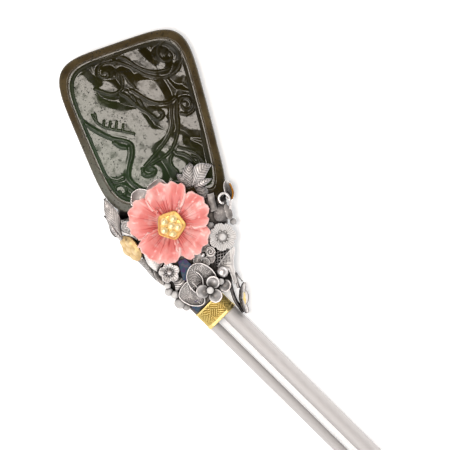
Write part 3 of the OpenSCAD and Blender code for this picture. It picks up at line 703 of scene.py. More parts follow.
def jade_plaque():
    """The plaque's carved front, its sides and its back."""
    rows, cols = 320, 280
    b, a = np.meshgrid(closer_at_rim(rows), closer_at_rim(cols), indexing="ij")
    x, y, inset = plaque_points(a, b)
    z = PLAQUE_TOP + rim_height(inset) + step(*GROUND_SETS_IN, inset) * ground_height(x, y)
    z = z + step(*CARVING_SETS_IN, inset) * carved_height(x, y)
    low_corner = step(6, 13, x) * (1 - step(-19.5, -10, y))
    tone = plaque_tone(x, y, inset, low_corner).reshape(-1)
    x = x + LOW_CORNER_SHIFT * low_corner
    y = y + PLAQUE_MIDDLE - LOW_CORNER_DROP * low_corner
    front = np.stack([x, y, z], -1).reshape(-1, 3)
    loop = border(rows, cols)
    away = (front[loop] - np.array([0, PLAQUE_MIDDLE, 0])) * np.array([1, 1, 0])
    away /= np.linalg.norm(away, axis=1, keepdims=True)
    points = [front]
    faces = grid_quads(rows, cols)[:, ::-1].tolist()
    previous = loop
    for k, (inward, level) in enumerate(PLAQUE_SIDES):
        ring = front[loop] - away * inward
        ring[:, 2] = level
        points.append(ring)
        current = [len(front) + n for n in ring_numbers(k, len(loop))]
        faces += bridge(previous, current)
        previous = current
    faces.append(previous)
    return np.vstack(points), faces, np.concatenate([tone, np.ones(len(PLAQUE_SIDES) * len(loop))])


piece("carved_jade_plaque", [jade_plaque()], JADE, stands_for=("jade_plaque",))


# Coral flower

# Places of the grooves across a petal, from one side to the other
GROOVES = [-0.86, -0.68, -0.5, -0.34, -0.17, 0, 0.16, 0.35, 0.52, 0.7, 0.87]

# Petals from the lowest to the topmost: lift of the right side, lift of the left side, and the outline as
# degrees from the head's right and millimetres from the flower's middle
PETALS = {
    "lower_left": (0.4, 0, [(182, 6), (186, 7.6), (190.3, 8.9), (194.2, 9.8), (198.6, 9.4), (204, 9.85),
        (212, 9.55), (218, 10), (226, 9.75), (234, 9.9), (240, 9.35), (244, 9.8), (250.6, 9.3),
        (257.6, 9.3), (262, 8.7), (266.3, 7.7), (270, 6)]),
    "lower_right": (0.4, 0, [(265, 6.2), (270, 7.4), (273.4, 8.5), (277.4, 9.4), (280.6, 9.8), (286.8, 9.7),
        (289.2, 9.1), (294, 9.75), (299, 9.95), (303.4, 9.45), (308, 9.4), (313.8, 10.1), (319.7, 9.6),
        (325.6, 9.55), (331, 9.85), (336, 9.4), (341, 8.6), (345, 7)]),
    "right": (0.4, 0, [(337, 5.8), (340.6, 7.3), (341, 8.5), (345.4, 9.1), (351.5, 9.5), (356.2, 9.1),
        (359.4, 9.7), (363.4, 10.2), (369, 10.2), (375.3, 9.85), (382.4, 10.5), (392.6, 9.85), (399.2, 9.8),
        (404.1, 9.3), (407, 7.6), (409, 5.8)]),
    "upper_left": (0, 0, [(108, 6.4), (113, 8.8), (118.1, 9.8), (122.7, 10), (126.7, 10.7), (131.3, 10.9),
        (135.4, 10.4), (140.2, 10.9), (145.2, 11.2), (149.3, 10.6), (154.2, 10.3), (158.2, 10.8),
        (162.7, 10.8), (167.5, 10.1), (173.2, 10.2), (178.8, 9.4), (183.9, 8.9), (188, 7)]),
    "top": (0.5, 0.5, [(46, 5.6), (47.5, 8), (49.4, 9.2), (52.9, 10.3), (58.4, 10.7), (61.9, 10.2),
        (66, 10.6), (70.7, 10.9), (75.4, 10.3), (81.1, 10.3), (85.8, 10.95), (92, 10.5), (98.4, 10.3),
        (105.6, 10.4), (109.7, 9.8), (114.9, 9.3), (118, 7.6), (120, 5.8)])}

# The petals' joined root: radius and height of its rings above the coral's seat
CORAL_ROOT = [(3.6, 0.0), (4.6, 0.2), (4.9, 0.55), (3.0, 0.9)]
PETAL_START = 1.6
PETAL_LEVEL = 0.62
PETAL_RISE = 1.95
PETAL_THICKNESS = 0.55
GROOVE_WIDTH = 0.022
GROOVE_DEPTH = 0.11


def petal_grooves(s, t, seed):
    """How deep the grooves are, from 0 to 1: they wander and end at different lengths."""
    depth = 0
    for k, place in enumerate(GROOVES):
        wander = 0.05 * np.sin(seed * 2 + 3 * k)
        length = 0.72 + 0.22 * np.sin(seed * 3 + 2.3 * k)
        groove = bell(t - place - wander * (1 + s), GROOVE_WIDTH)
        depth = depth + groove * (1 - step(length * 0.45, length, s))
    return depth * step(0.03, 0.2, s)


def coral_petal(right, left, outline, seed):
    """One broad ruffled petal with fine grooves and a scalloped edge."""
    s, t = strip(44, 121)
    angles, reaches = np.array(outline).T
    degrees = (angles[0] + angles[-1]) / 2 + t * (angles[-1] - angles[0]) / 2
    edge = np.interp(degrees, angles, reaches)
    depth = petal_grooves(s, t, seed)
    wave = np.sin(t * 7.4 + seed * 2.3)
    ruffle = 0.28 * wave * s ** 2 + 0.10 * np.sin(t * 15 + seed) * s ** 3
    scallop = np.clip(0.22 * (edge / np.max(reaches) - 0.92) / 0.08 * s ** 6, -0.3, 0.2)
    rise = PETAL_RISE * s ** 1.3 - PETAL_RISE / 3 * step(0.66, 1.0, s)
    sides = (np.clip(t, 0, 1) ** 3 * left + np.clip(-t, 0, 1) ** 3 * right) * (0.5 + 0.5 * s)
    lip = 0.16 * step(0.84, 0.97, np.abs(t)) * s
    reach = PETAL_START + (edge - PETAL_START) * s
    x = CORAL_MIDDLE[0] + reach * np.cos(np.radians(degrees))
    y = CORAL_MIDDLE[1] + reach * np.sin(np.radians(degrees))
    z = CORAL_SEAT + PETAL_LEVEL + rise + sides + ruffle + lip + scallop - GROOVE_DEPTH * depth
    # Painted light and shade: the tone deepens at the root and pales outward, partly the coral's own colour;
    # the grooves are painted darker as shade, and the ruffle's waves lighter and darker as light falls on
    # them.
    tone = 0.06 + 0.66 * s ** 0.9 - 0.45 * depth + 0.16 * wave * s
    # Pale rim along the sides and the tip: partly paler coral, partly a painted highlight on the curled lip.
    rim = np.maximum(step(0.94, 1.0, np.abs(t)) * (0.2 + 0.5 * s), 0.6 * step(0.955, 1.0, s))
    return thick(np.stack([x, y, z], -1), PETAL_THICKNESS, np.clip(tone + (1 - tone) * rim, 0, 1))


petals = [coral_petal(*petal, seed=1.7 * k) for k, petal in enumerate(PETALS.values())]
root_rings = [oval(CORAL_MIDDLE, radius, radius, CORAL_SEAT + level, 60) for radius, level in CORAL_ROOT]
piece("coral_petals", petals + [loft(root_rings, 0.1)], CORAL, stands_for=("coral_flower",))


# Gold flowers

# Round bosses hammered into the pentagon, in millimetres from its middle
CENTER_BOSSES = [(-1.3, 1.35), (1.05, 1.4), (0.1, -0.15), (1.5, -0.95), (-2.05, -0.7), (-0.3, -2.2)]


def bosses(x, y, places, radius):
    """Heights from 0 to 1 of round bosses at those places."""
    height = np.zeros_like(x)
    for boss_x, boss_y in places:
        gap = np.hypot(x - boss_x, y - boss_y) / radius
        height = np.maximum(height, np.clip(1 - gap ** 2, 0, 1))
    return height


def domed_rosette(radius, thickness, lobes, corner):
    """A hammered flower of round bosses, about its own middle, looking up."""
    s, a = polar(40, 120, 0.02)
    outline = radius * (1 - corner * (0.5 + 0.5 * np.cos(lobes * a)))
    x, y = outline * s * np.cos(a), outline * s * np.sin(a)
    ring = oval((0, 0), 0.56 * radius, 0.56 * radius, 0, 2 * lobes)[1::2, :2]
    height = bosses(x, y, [(0, 0), *ring], radius * 0.34)
    z = thickness * (1 - 0.75 * step(0.74, 1.0, s)) + radius * 0.13 * height
    # Painted highlight: the tone lifts the bosses to pale gold.
    return thick(np.stack([x, y, z], -1), thickness * 0.8, 0.6 * height, wrap=True)


def hammered_pentagon(radius, thickness):
    """A five-sided gold plate with rounded corners, a bevel and smooth bosses."""
    power = 9
    s, a = polar(48, 150, 0.02)
    facing = sum(np.clip(np.cos(a - np.pi / 2 - turn), 0, 1) ** power for turn in turns(5))
    outline = radius * math.cos(np.pi / 5) / facing ** (1 / power)
    x, y = outline * s * np.cos(a), outline * s * np.sin(a)
    lift = bosses(x, y, CENTER_BOSSES, 1.15)
    z = thickness * (1 - 0.55 * step(0.70, 1.0, s) ** 1.5) + 0.5 * lift
    # Painted highlight: the tone lifts the bosses to pale gold.
    return thick(np.stack([x, y, z], -1), thickness * 0.8, 0.9 * lift - 0.1, wrap=True)


center = pose(hammered_pentagon(radius=4.0, thickness=1.0), (*CORAL_MIDDLE, CORAL_SEAT + 1.45))
piece("hammered_gold_center", [center], GOLD, stands_for=("coral_flower_center",))
left_flower = domed_rosette(radius=3.9, thickness=0.7, lobes=5, corner=0.06)
left_flower = pose(left_flower, (-13.15, 21.6, 3.9), heading=18.4, lean_y=-58)
piece("gold_flower_left", [left_flower], PALE_GOLD, stands_for=("gold_flower",))


# Leaves, flowers and wires of the mount

SHEET_THICKNESS = 0.3
RIB_WIDTH = 0.14
VEIN_WIDTH = 0.42
VEIN_TONE = 0.9
GRAIN_TONE = 0.5


def sheet(left, right, levels, arch=0.3, veins=0, slant=1.2, depth=0.04, rib=0.0, tone=0.0, edge=0.4):
    """A chased sheet between two edges, from its root to its tip. Levels are at its root, middle and tip."""
    rows, cols = 44, 25
    s, t = strip(rows, cols)
    a = resampled(curve_through(left, 8), rows)[:, None, :]
    b = resampled(curve_through(right, 8), rows)[:, None, :]
    share = ((t + 1) / 2)[..., None]
    vein = -bell(np.sin(np.pi * (s * veins - slant * np.abs(t))), VEIN_WIDTH) * (veins > 0)
    z = np.interp(s, (0, 0.5, 1), levels) + arch * (1 - t ** 2) * np.sin(np.pi * (0.15 + 0.85 * s)) ** 0.5
    z = z + depth * vein + rib * bell(t, RIB_WIDTH)
    tones = tone + edge * step(0.75, 1.0, np.abs(t)) + VEIN_TONE * vein - rib * 4 * bell(t, 0.1)
    tones = np.clip(tones, -1, 1)
    grid = np.concatenate([b * (1 - share) + a * share, z[..., None]], -1)
    if normals(grid)[..., 2].mean() < 0:
        grid, tones = grid[:, ::-1], tones[:, ::-1]
    return thick(grid, SHEET_THICKNESS, tones)


def patch(outline, level, height, tone, middle=None, rows=20, cols=120, thickness=SHEET_THICKNESS):
    """A sheet inside a closed outline; height and tone are functions of share and angle."""
    line = closed_line(outline, cols)
    middle = line.mean(0) if middle is None else np.array(middle)
    s = polar(rows, cols)[0]
    a = np.arctan2(*(line - middle).T[::-1])[None, :]
    flat = middle + (line - middle)[None] * s[..., None]
    z = np.broadcast_to(level + height(s, a), (rows, cols))
    return thick(np.concatenate([flat, z[..., None]], -1), thickness, np.clip(tone(s, a), -1, 1), wrap=True)


def wire(name, radius, tone, sides=8):
    """An open wire through the places listed for it."""
    return tube(curve_through(WIRES[name], 8), radius, sides, tone=tone)


def edge_wire(outline, count, level, radius, tone):
    """A wire along a closed outline."""
    line = closed_line(outline, count)
    return tube(np.column_stack([line, np.full(count, level)]), radius, closed=True, tone=tone)


def hollow_leaf(name, level, depth, inner, wire_radius, wire_tone):
    """A hollow leaf, dark inside, with a wire along its edge."""
    outline = OUTLINES[name]
    body = patch(outline, level, lambda s, a: depth * s ** 2, lambda s, a: inner + (0.3 - inner) * s ** 3)
    return [body, edge_wire(outline, 90, level + depth + wire_radius * 0.4, wire_radius, wire_tone)]


def disc(radius, s, a, height, outline=1.0):
    """A round grid about its own middle, by its shares, angles and heights."""
    reach = radius * outline * s
    return np.stack(np.broadcast_arrays(reach * np.cos(a), reach * np.sin(a), height), -1)


def grain_ring(count, reaches, level, radius):
    """Grains round a middle, whose distances from it take turns."""
    grains = []
    for k, a in enumerate(turns(count)):
        reach = reaches[k % len(reaches)]
        place = (reach * math.cos(a), reach * math.sin(a), level)
        grains.append(bead(place, radius, GRAIN_TONE, detail=COARSE))
    return grains


def outlined_flower(at, radius, petals, heading, boss):
    """A small flower with a wire round its lobed outline, a ring of grains and a bright ball."""
    s, a = polar(20, 120)
    outline = 0.66 + 0.34 * np.abs(np.cos(petals * a / 2)) ** 0.55
    engraved = 0.05 * np.cos(a * petals * 4) * step(0.35, 0.6, s)
    grid = disc(radius, s, a, 0.35 * s ** 2 + engraved - 0.14 * bell(s - 0.38, 0.09), outline)
    parts = [thick(grid, SHEET_THICKNESS, 0.15 + 0.9 * step(0.45, 0.9, s), wrap=True)]
    parts.append(tube(grid[-1] + np.array([0, 0, 0.1]), 0.15, closed=True, tone=1.0))
    parts += grain_ring(10, [boss * 1.6], 0.15, 0.17)
    parts.append(bead((0, 0, 0.45), boss, 1.0))
    parts.append(tube([(0, 0, -1.7), (0, 0, 0.2)], boss * 0.8, 10))
    return [pose(p, at, heading=heading) for p in parts]


def ruffled_flower(at, radius, petals, tilt, heading, boss):
    """A pale flower of notched, grooved petals around a ring of grains."""
    s, a = polar(22, 240)
    outline = 0.80 + 0.20 * np.abs(np.sin(petals * a / 2)) ** 0.45 - 0.05 * np.abs(np.sin(petals * a * 2.5))
    groove = np.sin(a * petals * 5)
    height = 0.4 * s ** 2 + 0.03 * groove * step(0.35, 0.6, s) + 0.10 * np.cos(petals * a) * s
    grid = disc(radius, s, a, height - 0.16 * bell(s - 0.40, 0.10), outline)
    tones = 0.3 - 0.7 * bell(s - 0.40, 0.12) + 0.4 * groove * step(0.4, 0.6, s)
    parts = [thick(grid, 0.35, tones, wrap=True)]
    parts += grain_ring(13, [radius * 0.46, radius * 0.40], 0.1, 0.22)
    parts.append(bead((0, 0, 0.15), boss, 0.2, 0.6))
    parts.append(tube([(0, 0, -2.0), (0, 0, 0.1)], boss * 0.8, 10))
    return [pose(p, at, heading=heading, lean_x=tilt * 0.4, lean_y=tilt) for p in parts]


def spoon_petal(radius):
    """A shallow spoon of a petal, dark towards -X and bright towards +X, with a rounded rim."""
    s, a = polar(16, 48)
    outward = s * np.cos(a)
    grid = disc(radius, s, a, 0.5 * radius * s ** 2.2 - 0.16 * radius * step(0.85, 1.0, s))
    rim = 0.8 * step(0.84, 0.98, s) * np.clip(outward + 0.4, 0, 1)
    tones = np.clip(-0.2 + 1.2 * outward + 0.4 * s ** 3 + rim, -1, 1.4)
    return thick(grid, SHEET_THICKNESS, tones, wrap=True)


def cupped_flower(ball, cups):
    """Spoon petals that lean out around a ball on a stalk: cups are their places and radii."""
    ball_x, ball_y, ball_z, ball_radius = ball[:4]
    parts = []
    for x, y, radius in cups:
        heading = math.degrees(math.atan2(y - ball_y, x - ball_x))
        parts.append(pose(spoon_petal(radius), (x, y, ball_z - 0.85), heading=heading, lean_y=-14))
    parts.append(tube([(ball_x, ball_y, ball_z - 3.2), (ball_x, ball_y, ball_z)], ball_radius * 0.7, 12))
    return parts


def lotus_leaf(name, middle, level, veins, ground):
    """A round leaf with spread veins, granulation between them and a wire round its edge."""
    outline = OUTLINES[name]

    def vein(s, a):
        return bell(np.sin(veins * a / 2 + 0.4 * s) * s, 0.05) * step(0.08, 0.2, s)

    def grains(s, a):
        waves = np.sin(s * 34 + 3 * np.sin(5 * a)) * np.sin(a * 38 + 2 * s)
        return np.clip(waves, 0, 1) * step(0.2, 0.35, s)

    def height(s, a):
        return 0.45 * s ** 2 + 0.08 * vein(s, a) + 0.08 * grains(s, a)

    def tone(s, a):
        granulated = 0.9 * grains(s, a) * (1 - step(0.75, 0.95, s))
        return ground + 1.1 * vein(s, a) + granulated + 0.5 * np.sin(a - 0.4) * s

    body = patch(outline, level, height, tone, middle, rows=30, cols=200, thickness=0.4)
    return [body, edge_wire(outline, 120, level + 0.52, radius=0.155, tone=0.6)]


def spiral_wire(at, start, rounds, radius, wire_radius, tone):
    """A flat spiral of wire."""
    share = np.linspace(0, 1, 60)
    angle = np.radians(start) + 2 * np.pi * rounds * share
    reach = radius * (0.15 + 0.85 * share)
    path = np.stack([reach * np.cos(angle), reach * np.sin(angle), 0 * share], -1) + np.array(at)
    return tube(path, wire_radius, tone=tone)


# Leaves as sheets, in head millimetres: left edge, right edge, levels at root, middle and tip, then how they
# are chased
LEAVES = {
    "leaf_top_lobe": dict(
        left=[(5.4, 31.6), (5.1, 33.4), (5.3, 35.2), (6.3, 36.4), (7.9, 37.1)],
        right=[(7.4, 31.4), (8.4, 33.2), (8.6, 35), (8.4, 36.3), (7.9, 37.1)],
        levels=(6.3, 6.9, 6.9), veins=9, slant=2.2, tone=-0.6, depth=0.08),
    "leaf_right_lobe": dict(
        left=[(6.4, 31.8), (7.6, 34.2), (8.7, 35.9), (10.4, 36.2), (11.6, 35.7), (12.8, 35)],
        right=[(7.4, 31.2), (9, 31.8), (10.2, 32.4), (11, 33.2), (12, 34.2), (12.8, 35)],
        levels=(6.4, 7.2, 7.2), veins=10, slant=1.5, rib=0.08, tone=-0.1, depth=0.08),
    "leaf_low_lobe": dict(
        left=[(7, 31.5), (8.6, 32.4), (10.2, 32.3), (11.9, 31.6)],
        right=[(7, 30.6), (8.6, 30.5), (10.2, 30.8), (11.9, 31.6)],
        levels=(6.3, 6.9, 6.8), veins=7, slant=1, tone=-0.15, depth=0.08),
    "leaf_left_lobe": dict(
        left=[(4.8, 31.6), (4, 33.2), (3.7, 34.4), (3.9, 35.5)],
        right=[(6.6, 31.6), (6.3, 33.4), (5.4, 34.9), (3.9, 35.5)],
        levels=(6.2, 6.6, 6.5), veins=8, slant=1.6, tone=-0.55, edge=0.2),
    "leaf_stalk": dict(
        left=[(7.2, 27.6), (7.2, 29.4), (6.8, 31.6)],
        right=[(9.6, 27.6), (9.9, 29.4), (9, 31.2)],
        levels=(6, 6.2, 6.3), veins=5, slant=0.8, tone=-0.8, edge=0.1),
    "satin_blade": dict(
        left=[(8.9, 23.8), (9.1, 26), (9.4, 28.3)],
        right=[(10.6, 23.8), (10.8, 26), (11.1, 28.2)],
        levels=(6.3, 6.4, 6.3), arch=0.12, tone=-0.85, edge=0.1),
    "long_leaf_left": dict(
        left=[(-14.6, 25), (-15.4, 27.4), (-16.1, 29.4), (-16.3, 31.6), (-15.9, 33.8), (-15.1, 35.5)],
        right=[(-14, 25), (-13.6, 27.6), (-13.1, 29.4), (-13.1, 31.4), (-13.9, 33.4), (-15.1, 35.5)],
        levels=(6, 6.4, 6.3), arch=0.2, veins=12, slant=3.2, depth=0.05, tone=-0.5, edge=0.1),
    "serrated_leaf_left": dict(
        left=[(-14.8, 24.2), (-15.8, 26.4), (-16.3, 28.6), (-16.5, 31.5)],
        right=[(-13.9, 24.6), (-14.8, 26.8), (-15.4, 29), (-16.5, 31.5)],
        levels=(6, 6.2, 6), veins=10, depth=0.05, tone=-0.3, edge=0.5),
    "blade_left": dict(
        left=[(-11, 23), (-12.6, 24.4), (-13.9, 26), (-13.9, 27.8), (-13, 29.2)],
        right=[(-10.6, 23.6), (-11.2, 25.4), (-11.4, 27.2), (-12, 28.4), (-13, 29.2)],
        levels=(5.9, 6, 6), veins=3, tone=-0.15, edge=0.3),
    "gilt_leaf": dict(
        left=[(-6, 7.7), (-5.6, 9.3), (-5.9, 10.7)],
        right=[(-4.2, 8), (-2.6, 9.4), (-3.6, 10.9)],
        levels=(6, 6.4, 6.1), veins=5, slant=0.9, depth=0.08, tone=-0.2)}

PALE_LEAVES = {
    "white_leaf": dict(
        left=[(-8.7, 14), (-9.6, 15.2), (-10.3, 17), (-10.4, 19.6)],
        right=[(-8.7, 14), (-7.4, 15.6), (-8, 17), (-9.2, 18.6), (-10, 19.8)],
        levels=(6.2, 6.6, 6.5), veins=10, depth=0.05, tone=0.5),
    "edge_leaf_left": dict(
        left=[(-9, 10.9), (-10.3, 13), (-11.2, 15.2), (-12.5, 18)],
        right=[(-8.5, 11.4), (-9.2, 13.4), (-9.9, 15.6), (-11, 18.2)],
        levels=(5.4, 5.6, 5), veins=9, tone=-0.5)}

# Closed outlines of leaves and petals, in head millimetres
OUTLINES = {
    "leaf_front": [(-9.1, 31.6), (-8.8, 33.2), (-8.1, 34.5), (-6.6, 35), (-5.2, 34.6), (-4.2, 33.6),
        (-4.8, 31.5), (-7, 30.3)],
    "leaf_back": [(-4.6, 33.4), (-4, 34.7), (-2.4, 35.5), (-0.9, 35.8), (0.1, 35.1), (0.6, 33.4),
        (-2, 32.2)],
    "clasping_leaf": [(13.9, 25.8), (13.8, 27.4), (14, 28.9), (14.7, 30), (15.4, 29.8), (15.9, 28.6),
        (15.8, 27), (15.3, 25.6), (14.5, 25.1)],
    "calla_leaf": [(8.7, 4.9), (8.7, 6.8), (8.4, 8.6), (7.4, 9.8), (6, 10.4), (7.9, 11.8), (9.8, 13),
        (11.5, 13.8), (10.4, 11.2), (9.8, 9.4), (9.5, 7.4), (9.2, 5.2)],
    "round_leaf": [(9.4, 21.4), (9.3, 23), (9.9, 24.3), (11, 24.9), (12.4, 24.6), (13.2, 23.6),
        (13.2, 22.2), (12.4, 20.9), (10.8, 20.5)],
    "round_leaf_edge": [(12.2, 21.2), (12, 23), (12.6, 24.5), (13.4, 24.1), (13.9, 22.8), (13.7, 21.2),
        (12.9, 20.5)],
    "lotus_upper": [(-1.4, 6.4), (-2, 7.8), (-2.2, 9.5), (-1.8, 11), (-0.9, 12.2), (0.3, 12.85),
        (1.6, 12.9), (2.9, 12.2), (4, 11), (4.7, 9.6), (4.9, 8.2), (4.4, 6.6), (3, 5.6), (1, 5.4),
        (-0.6, 5.7)],
    "lotus_lower": [(-1.9, 9.3), (-3.4, 8.8), (-4.7, 7.7), (-5.4, 6.6), (-5.1, 5.4), (-4.3, 4.3),
        (-3.3, 3.4), (-2, 2.8), (-0.8, 2.6), (0.2, 3.2), (0.4, 5), (-0.4, 7), (-1, 8.4)],
    "spiral_petal": [(4.4, 14.4), (4.8, 15.5), (5.8, 15.8), (6.6, 15.2), (6.7, 14.2), (6.1, 13.4),
        (5, 13.4)],
    "dark_blade": [(-9.4, 14.4), (-9.4, 12.8), (-9, 11.2), (-8.2, 10.5), (-8, 12), (-8.2, 13.6), (-7.6, 15),
        (-6.6, 15.9), (-8.2, 15.7)],
    "dark_petal_1": [(0.8, 13.2), (1.3, 14.6), (2.4, 15.3), (3.2, 14.6), (2.9, 13.4), (1.9, 12.7)],
    "dark_petal_2": [(2, 12.9), (3.2, 13.7), (4.3, 13.2), (4.6, 12.1), (3.8, 11.4), (2.7, 11.8)],
    "dark_petal_3": [(4, 13.6), (5.2, 13.8), (6.2, 13.2), (5.8, 12.2), (4.9, 11.8), (4.2, 12.4)],
    "dark_petal_4": [(3.6, 15.2), (4.1, 16.4), (5.3, 16.9), (5.8, 16.1), (4.8, 15.3)]}

# Places that wires run through, in head millimetres
WIRES = {
    "amber_edge": [(14.9, 25.3, 6.55), (15.55, 26.4, 6.6), (15.75, 27.8, 6.6), (15.6, 29.1, 6.6)],
    "calla_edge": [(6, 10.4, 5.95), (7.9, 11.8, 5.95), (9.8, 13, 5.95), (11.5, 13.8, 5.95)],
    "tendril": [(12.7, 24.95, 6.7), (12.05, 25.2, 6.8), (11.75, 25.9, 6.8), (12, 26.8, 6.8),
        (12.85, 27.3, 6.8), (13.75, 27.1, 6.7), (14.3, 26.2, 6.6), (14.35, 25, 6.4), (13.95, 23.8, 6.2),
        (13.5, 22.6, 6)],
    "lotus_fold": [(0.5, 11.1, 7), (1.25, 10, 7.1), (1.55, 8.7, 7.1), (1.2, 7.2, 7)],
    "arm_low": [(7.7, 8, 3.9), (7.45, 5, 3.7), (7.3, 2.6, 3.5), (7.35, 0.8, 3.4), (7.8, -1, 3.4),
        (8.35, -2.7, 3.6)],
    "arm_high": [(8.9, 10.4, 4.6), (9.3, 8.6, 4.6), (9.5, 7, 4.7), (9.35, 5.2, 4.9), (9.2, 3.6, 4.9)]}

# Cast balls, and the two that sit in cups: place, radius and tone
BEADS = [(-7.4, 9.9, 6, 0.82, 0.4), (-7.6, 8.3, 5.6, 1.05, -0.4), (-6.4, 7.1, 5.8, 1, 0),
         (-5.9, 4.7, 5.3, 1.45, -0.6), (13.3, 19.8, 5.4, 0.85, -1), (-7.65, 13.5, 6.6, 0.78, 1),
         (-4.7, 3.3, 5.1, 1, -0.8), (6.8, 18, 6.5, 0.66, 0.8), (7.7, 20.6, 6, 0.9, -0.9)]
FRONT_BALL = (2.5, 5.55, 8.1, 0.86, 0.9)
BACK_BALL = (5.7, 6.7, 7, 0.78, -0.3)

for name, how in LEAVES.items():
    piece(name, [sheet(**how)], SILVER)
for name, how in PALE_LEAVES.items():
    piece(name, [sheet(**how)], BRIGHT_SILVER)

leaf_front = hollow_leaf("leaf_front", level=6.2, depth=0.5, inner=-0.45, wire_radius=0.14, wire_tone=0.7)
leaf_back = hollow_leaf("leaf_back", level=6.2, depth=0.35, inner=-0.3, wire_radius=0.09, wire_tone=0.3)
piece("leaves_behind_coral", leaf_front + leaf_back, SILVER)
clasping = hollow_leaf("clasping_leaf", level=6.15, depth=0.4, inner=-0.9, wire_radius=0.1, wire_tone=0.1)
piece("clasping_leaf", clasping, SILVER)
piece("amber_edge", [wire("amber_edge", radius=0.24, tone=-1.6, sides=10)], GOLD)


def calla_height(s, a):
    """A shallow dish with fine grooves."""
    return 0.35 * s ** 2 + 0.03 * np.sin(a * 30) * s


def calla_tone(s, a):
    """Bright, with grooves, and dark towards the root."""
    return 1.0 + 0.2 * np.sin(a * 30) * s - 0.8 * bell(a + 1.6, 0.5)


calla = patch(OUTLINES["calla_leaf"], 5.5, calla_height, calla_tone, (8.8, 9.6))
piece("calla_leaf", [calla, wire("calla_edge", radius=0.13, tone=0.9)], BRIGHT_SILVER)


def round_leaf(name, level, dome, fall, glow):
    """A dark domed leaf: its height in the middle, how far it falls, and how much lighter its edge is."""
    return patch(OUTLINES[name], level, lambda s, a: dome - fall * s ** 2, lambda s, a: -1.0 + glow * s)


round_leaves = [round_leaf("round_leaf", level=6.0, dome=0.5, fall=0.4, glow=0.1),
                round_leaf("round_leaf_edge", level=6.3, dome=0.15, fall=0.1, glow=0.2)]
piece("round_leaves_right", round_leaves, SILVER)

tendril_path = curve_through(WIRES["tendril"], 7)
tendril_radii = np.linspace(0.30, 0.34, len(tendril_path))
piece("tendril", [tube(tendril_path, tendril_radii, 12, tone=0.5)], SILVER)

plum = outlined_flower((-5.75, 12.9, 6.7), radius=2.5, petals=5, heading=10, boss=0.58)
piece("plum_flower", plum, SILVER)
pale = ruffled_flower((9.6, 17.1, 6.5), radius=3.55, petals=7, tilt=8, heading=15, boss=0.85)
piece("pale_flower", pale, WORN_SILVER)
small_pale = ruffled_flower((-12.1, 27.2, 6.3), radius=1.35, petals=5, tilt=0, heading=0, boss=0.35)
piece("small_pale_flower", small_pale, WORN_SILVER)

front_cups = [(3.85, 7.25, 1.65), (0.55, 5.8, 1.65), (3.35, 3.7, 1.7)]
piece("cupped_flower", cupped_flower(FRONT_BALL, front_cups), SILVER)
bud = bead((6.75, 8.8, 6.3), radius=1.5, squash=0.8)
piece("cupped_flower_behind", cupped_flower(BACK_BALL, [(6.3, 5.3, 1.55)]) + [bud], SILVER)

lotus_upper = lotus_leaf("lotus_upper", middle=(1.5, 8.4), level=6.5, veins=9, ground=-1.0)
piece("lotus_leaf_upper", lotus_upper + [wire("lotus_fold", radius=0.13, tone=0.5)], SILVER)
lotus_lower = lotus_leaf("lotus_lower", middle=(-2.8, 5.2), level=6.1, veins=8, ground=-0.6)
piece("lotus_leaf_lower", lotus_lower, SILVER)

spiral_parts = []
for name in ("dark_petal_1", "dark_petal_2", "dark_petal_3", "dark_petal_4"):
    spiral_parts += hollow_leaf(name, level=6.3, depth=0.25, inner=-0.5, wire_radius=0.07, wire_tone=0.2)
spiral_parts.append(patch(OUTLINES["spiral_petal"], 6.7, lambda s, a: 0.2 * s ** 2, lambda s, a: 0.1))
spiral = spiral_wire((5.6, 14.6, 6.95), start=90, rounds=1.7, radius=1.15, wire_radius=0.13, tone=0.9)
spiral_parts += [spiral, bead((3.5, 14.4, 7.0), radius=0.56, tone=0.4)]
piece("spiral_flower", spiral_parts, SILVER)
dark_blade = hollow_leaf("dark_blade", level=6.0, depth=0.2, inner=-0.8, wire_radius=0.09, wire_tone=-0.2)
piece("dark_blade_left", dark_blade, SILVER)

mesh_wires = []
for k in range(6):
    across = [(5.4 + 0.75 * k, 10.6, 5.95), (6.6 + 0.75 * k, 14.2, 5.95)]
    along = [(5.6, 10.7 + 0.62 * k, 6.05), (9.6, 9.9 + 0.78 * k, 6.05)]
    mesh_wires += [tube(across, 0.09, 6, tone=-0.2), tube(along, 0.09, 6, tone=-0.4)]
piece("wire_mesh", mesh_wires, SILVER)
balls = [bead((x, y, z), radius, tone) for x, y, z, radius, tone in BEADS + [FRONT_BALL, BACK_BALL]]
piece("solder_balls", balls, WORN_SILVER)


# Mount body

# Rings of the mount in and above the collar, in pin millimetres: place along it, half width, bottom and top
NECK = [(-2.5, 3.75, 0.72, 4.68), (2.62, 3.75, 0.72, 4.68), (2.72, 4.2, 0.16, 5.24), (3.0, 4.2, 0.16, 5.24)]

# The body above them, in head millimetres: place along the head, its middle across it, half width and top
BODY = [(4.0, 1.33, 6.26, 5.25), (9.0, 0.55, 8.75, 5.42), (15.0, 0.0, 10.2, 5.61), (21.0, 0.0, 12.2, 5.75),
        (23.8, -0.1, 13.0, 5.8), (24.4, -0.12, 13.2, 4.15), (28.9, -0.35, 14.2, 4.15)]

# Corners of the back plate in head millimetres, and its levels and insets from bottom to top
PLATE_CORNERS = [(-13.9, 27.6), (-14.1, 29.0), (-12.6, 36.0), (-11.4, 37.6), (11.4, 37.6), (12.6, 36.0),
                 (13.4, 29.0), (13.2, 27.6)]
PLATE_LEVELS = [(0.0, 0.25), (0.12, 0.05), (BACK_PLATE - 0.12, 0.05), (BACK_PLATE, 0.25)]

# The clasps at the plaque's lower corners: places in head millimetres, half widths, and then their levels and
# shares of these widths from bottom to top
CLASPS_AT = [(-15.35, 27.6), (14.65, 27.6)]
CLASP_ACROSS = 1.2
CLASP_ALONG = 2.3
CLASP_LEVELS = [(0.0, 0.9), (0.3, 1.0), (5.3, 1.0), (5.8, 0.9), (MOUNT_HEIGHT - 0.05, 0.6),
                (MOUNT_HEIGHT, 0.1)]


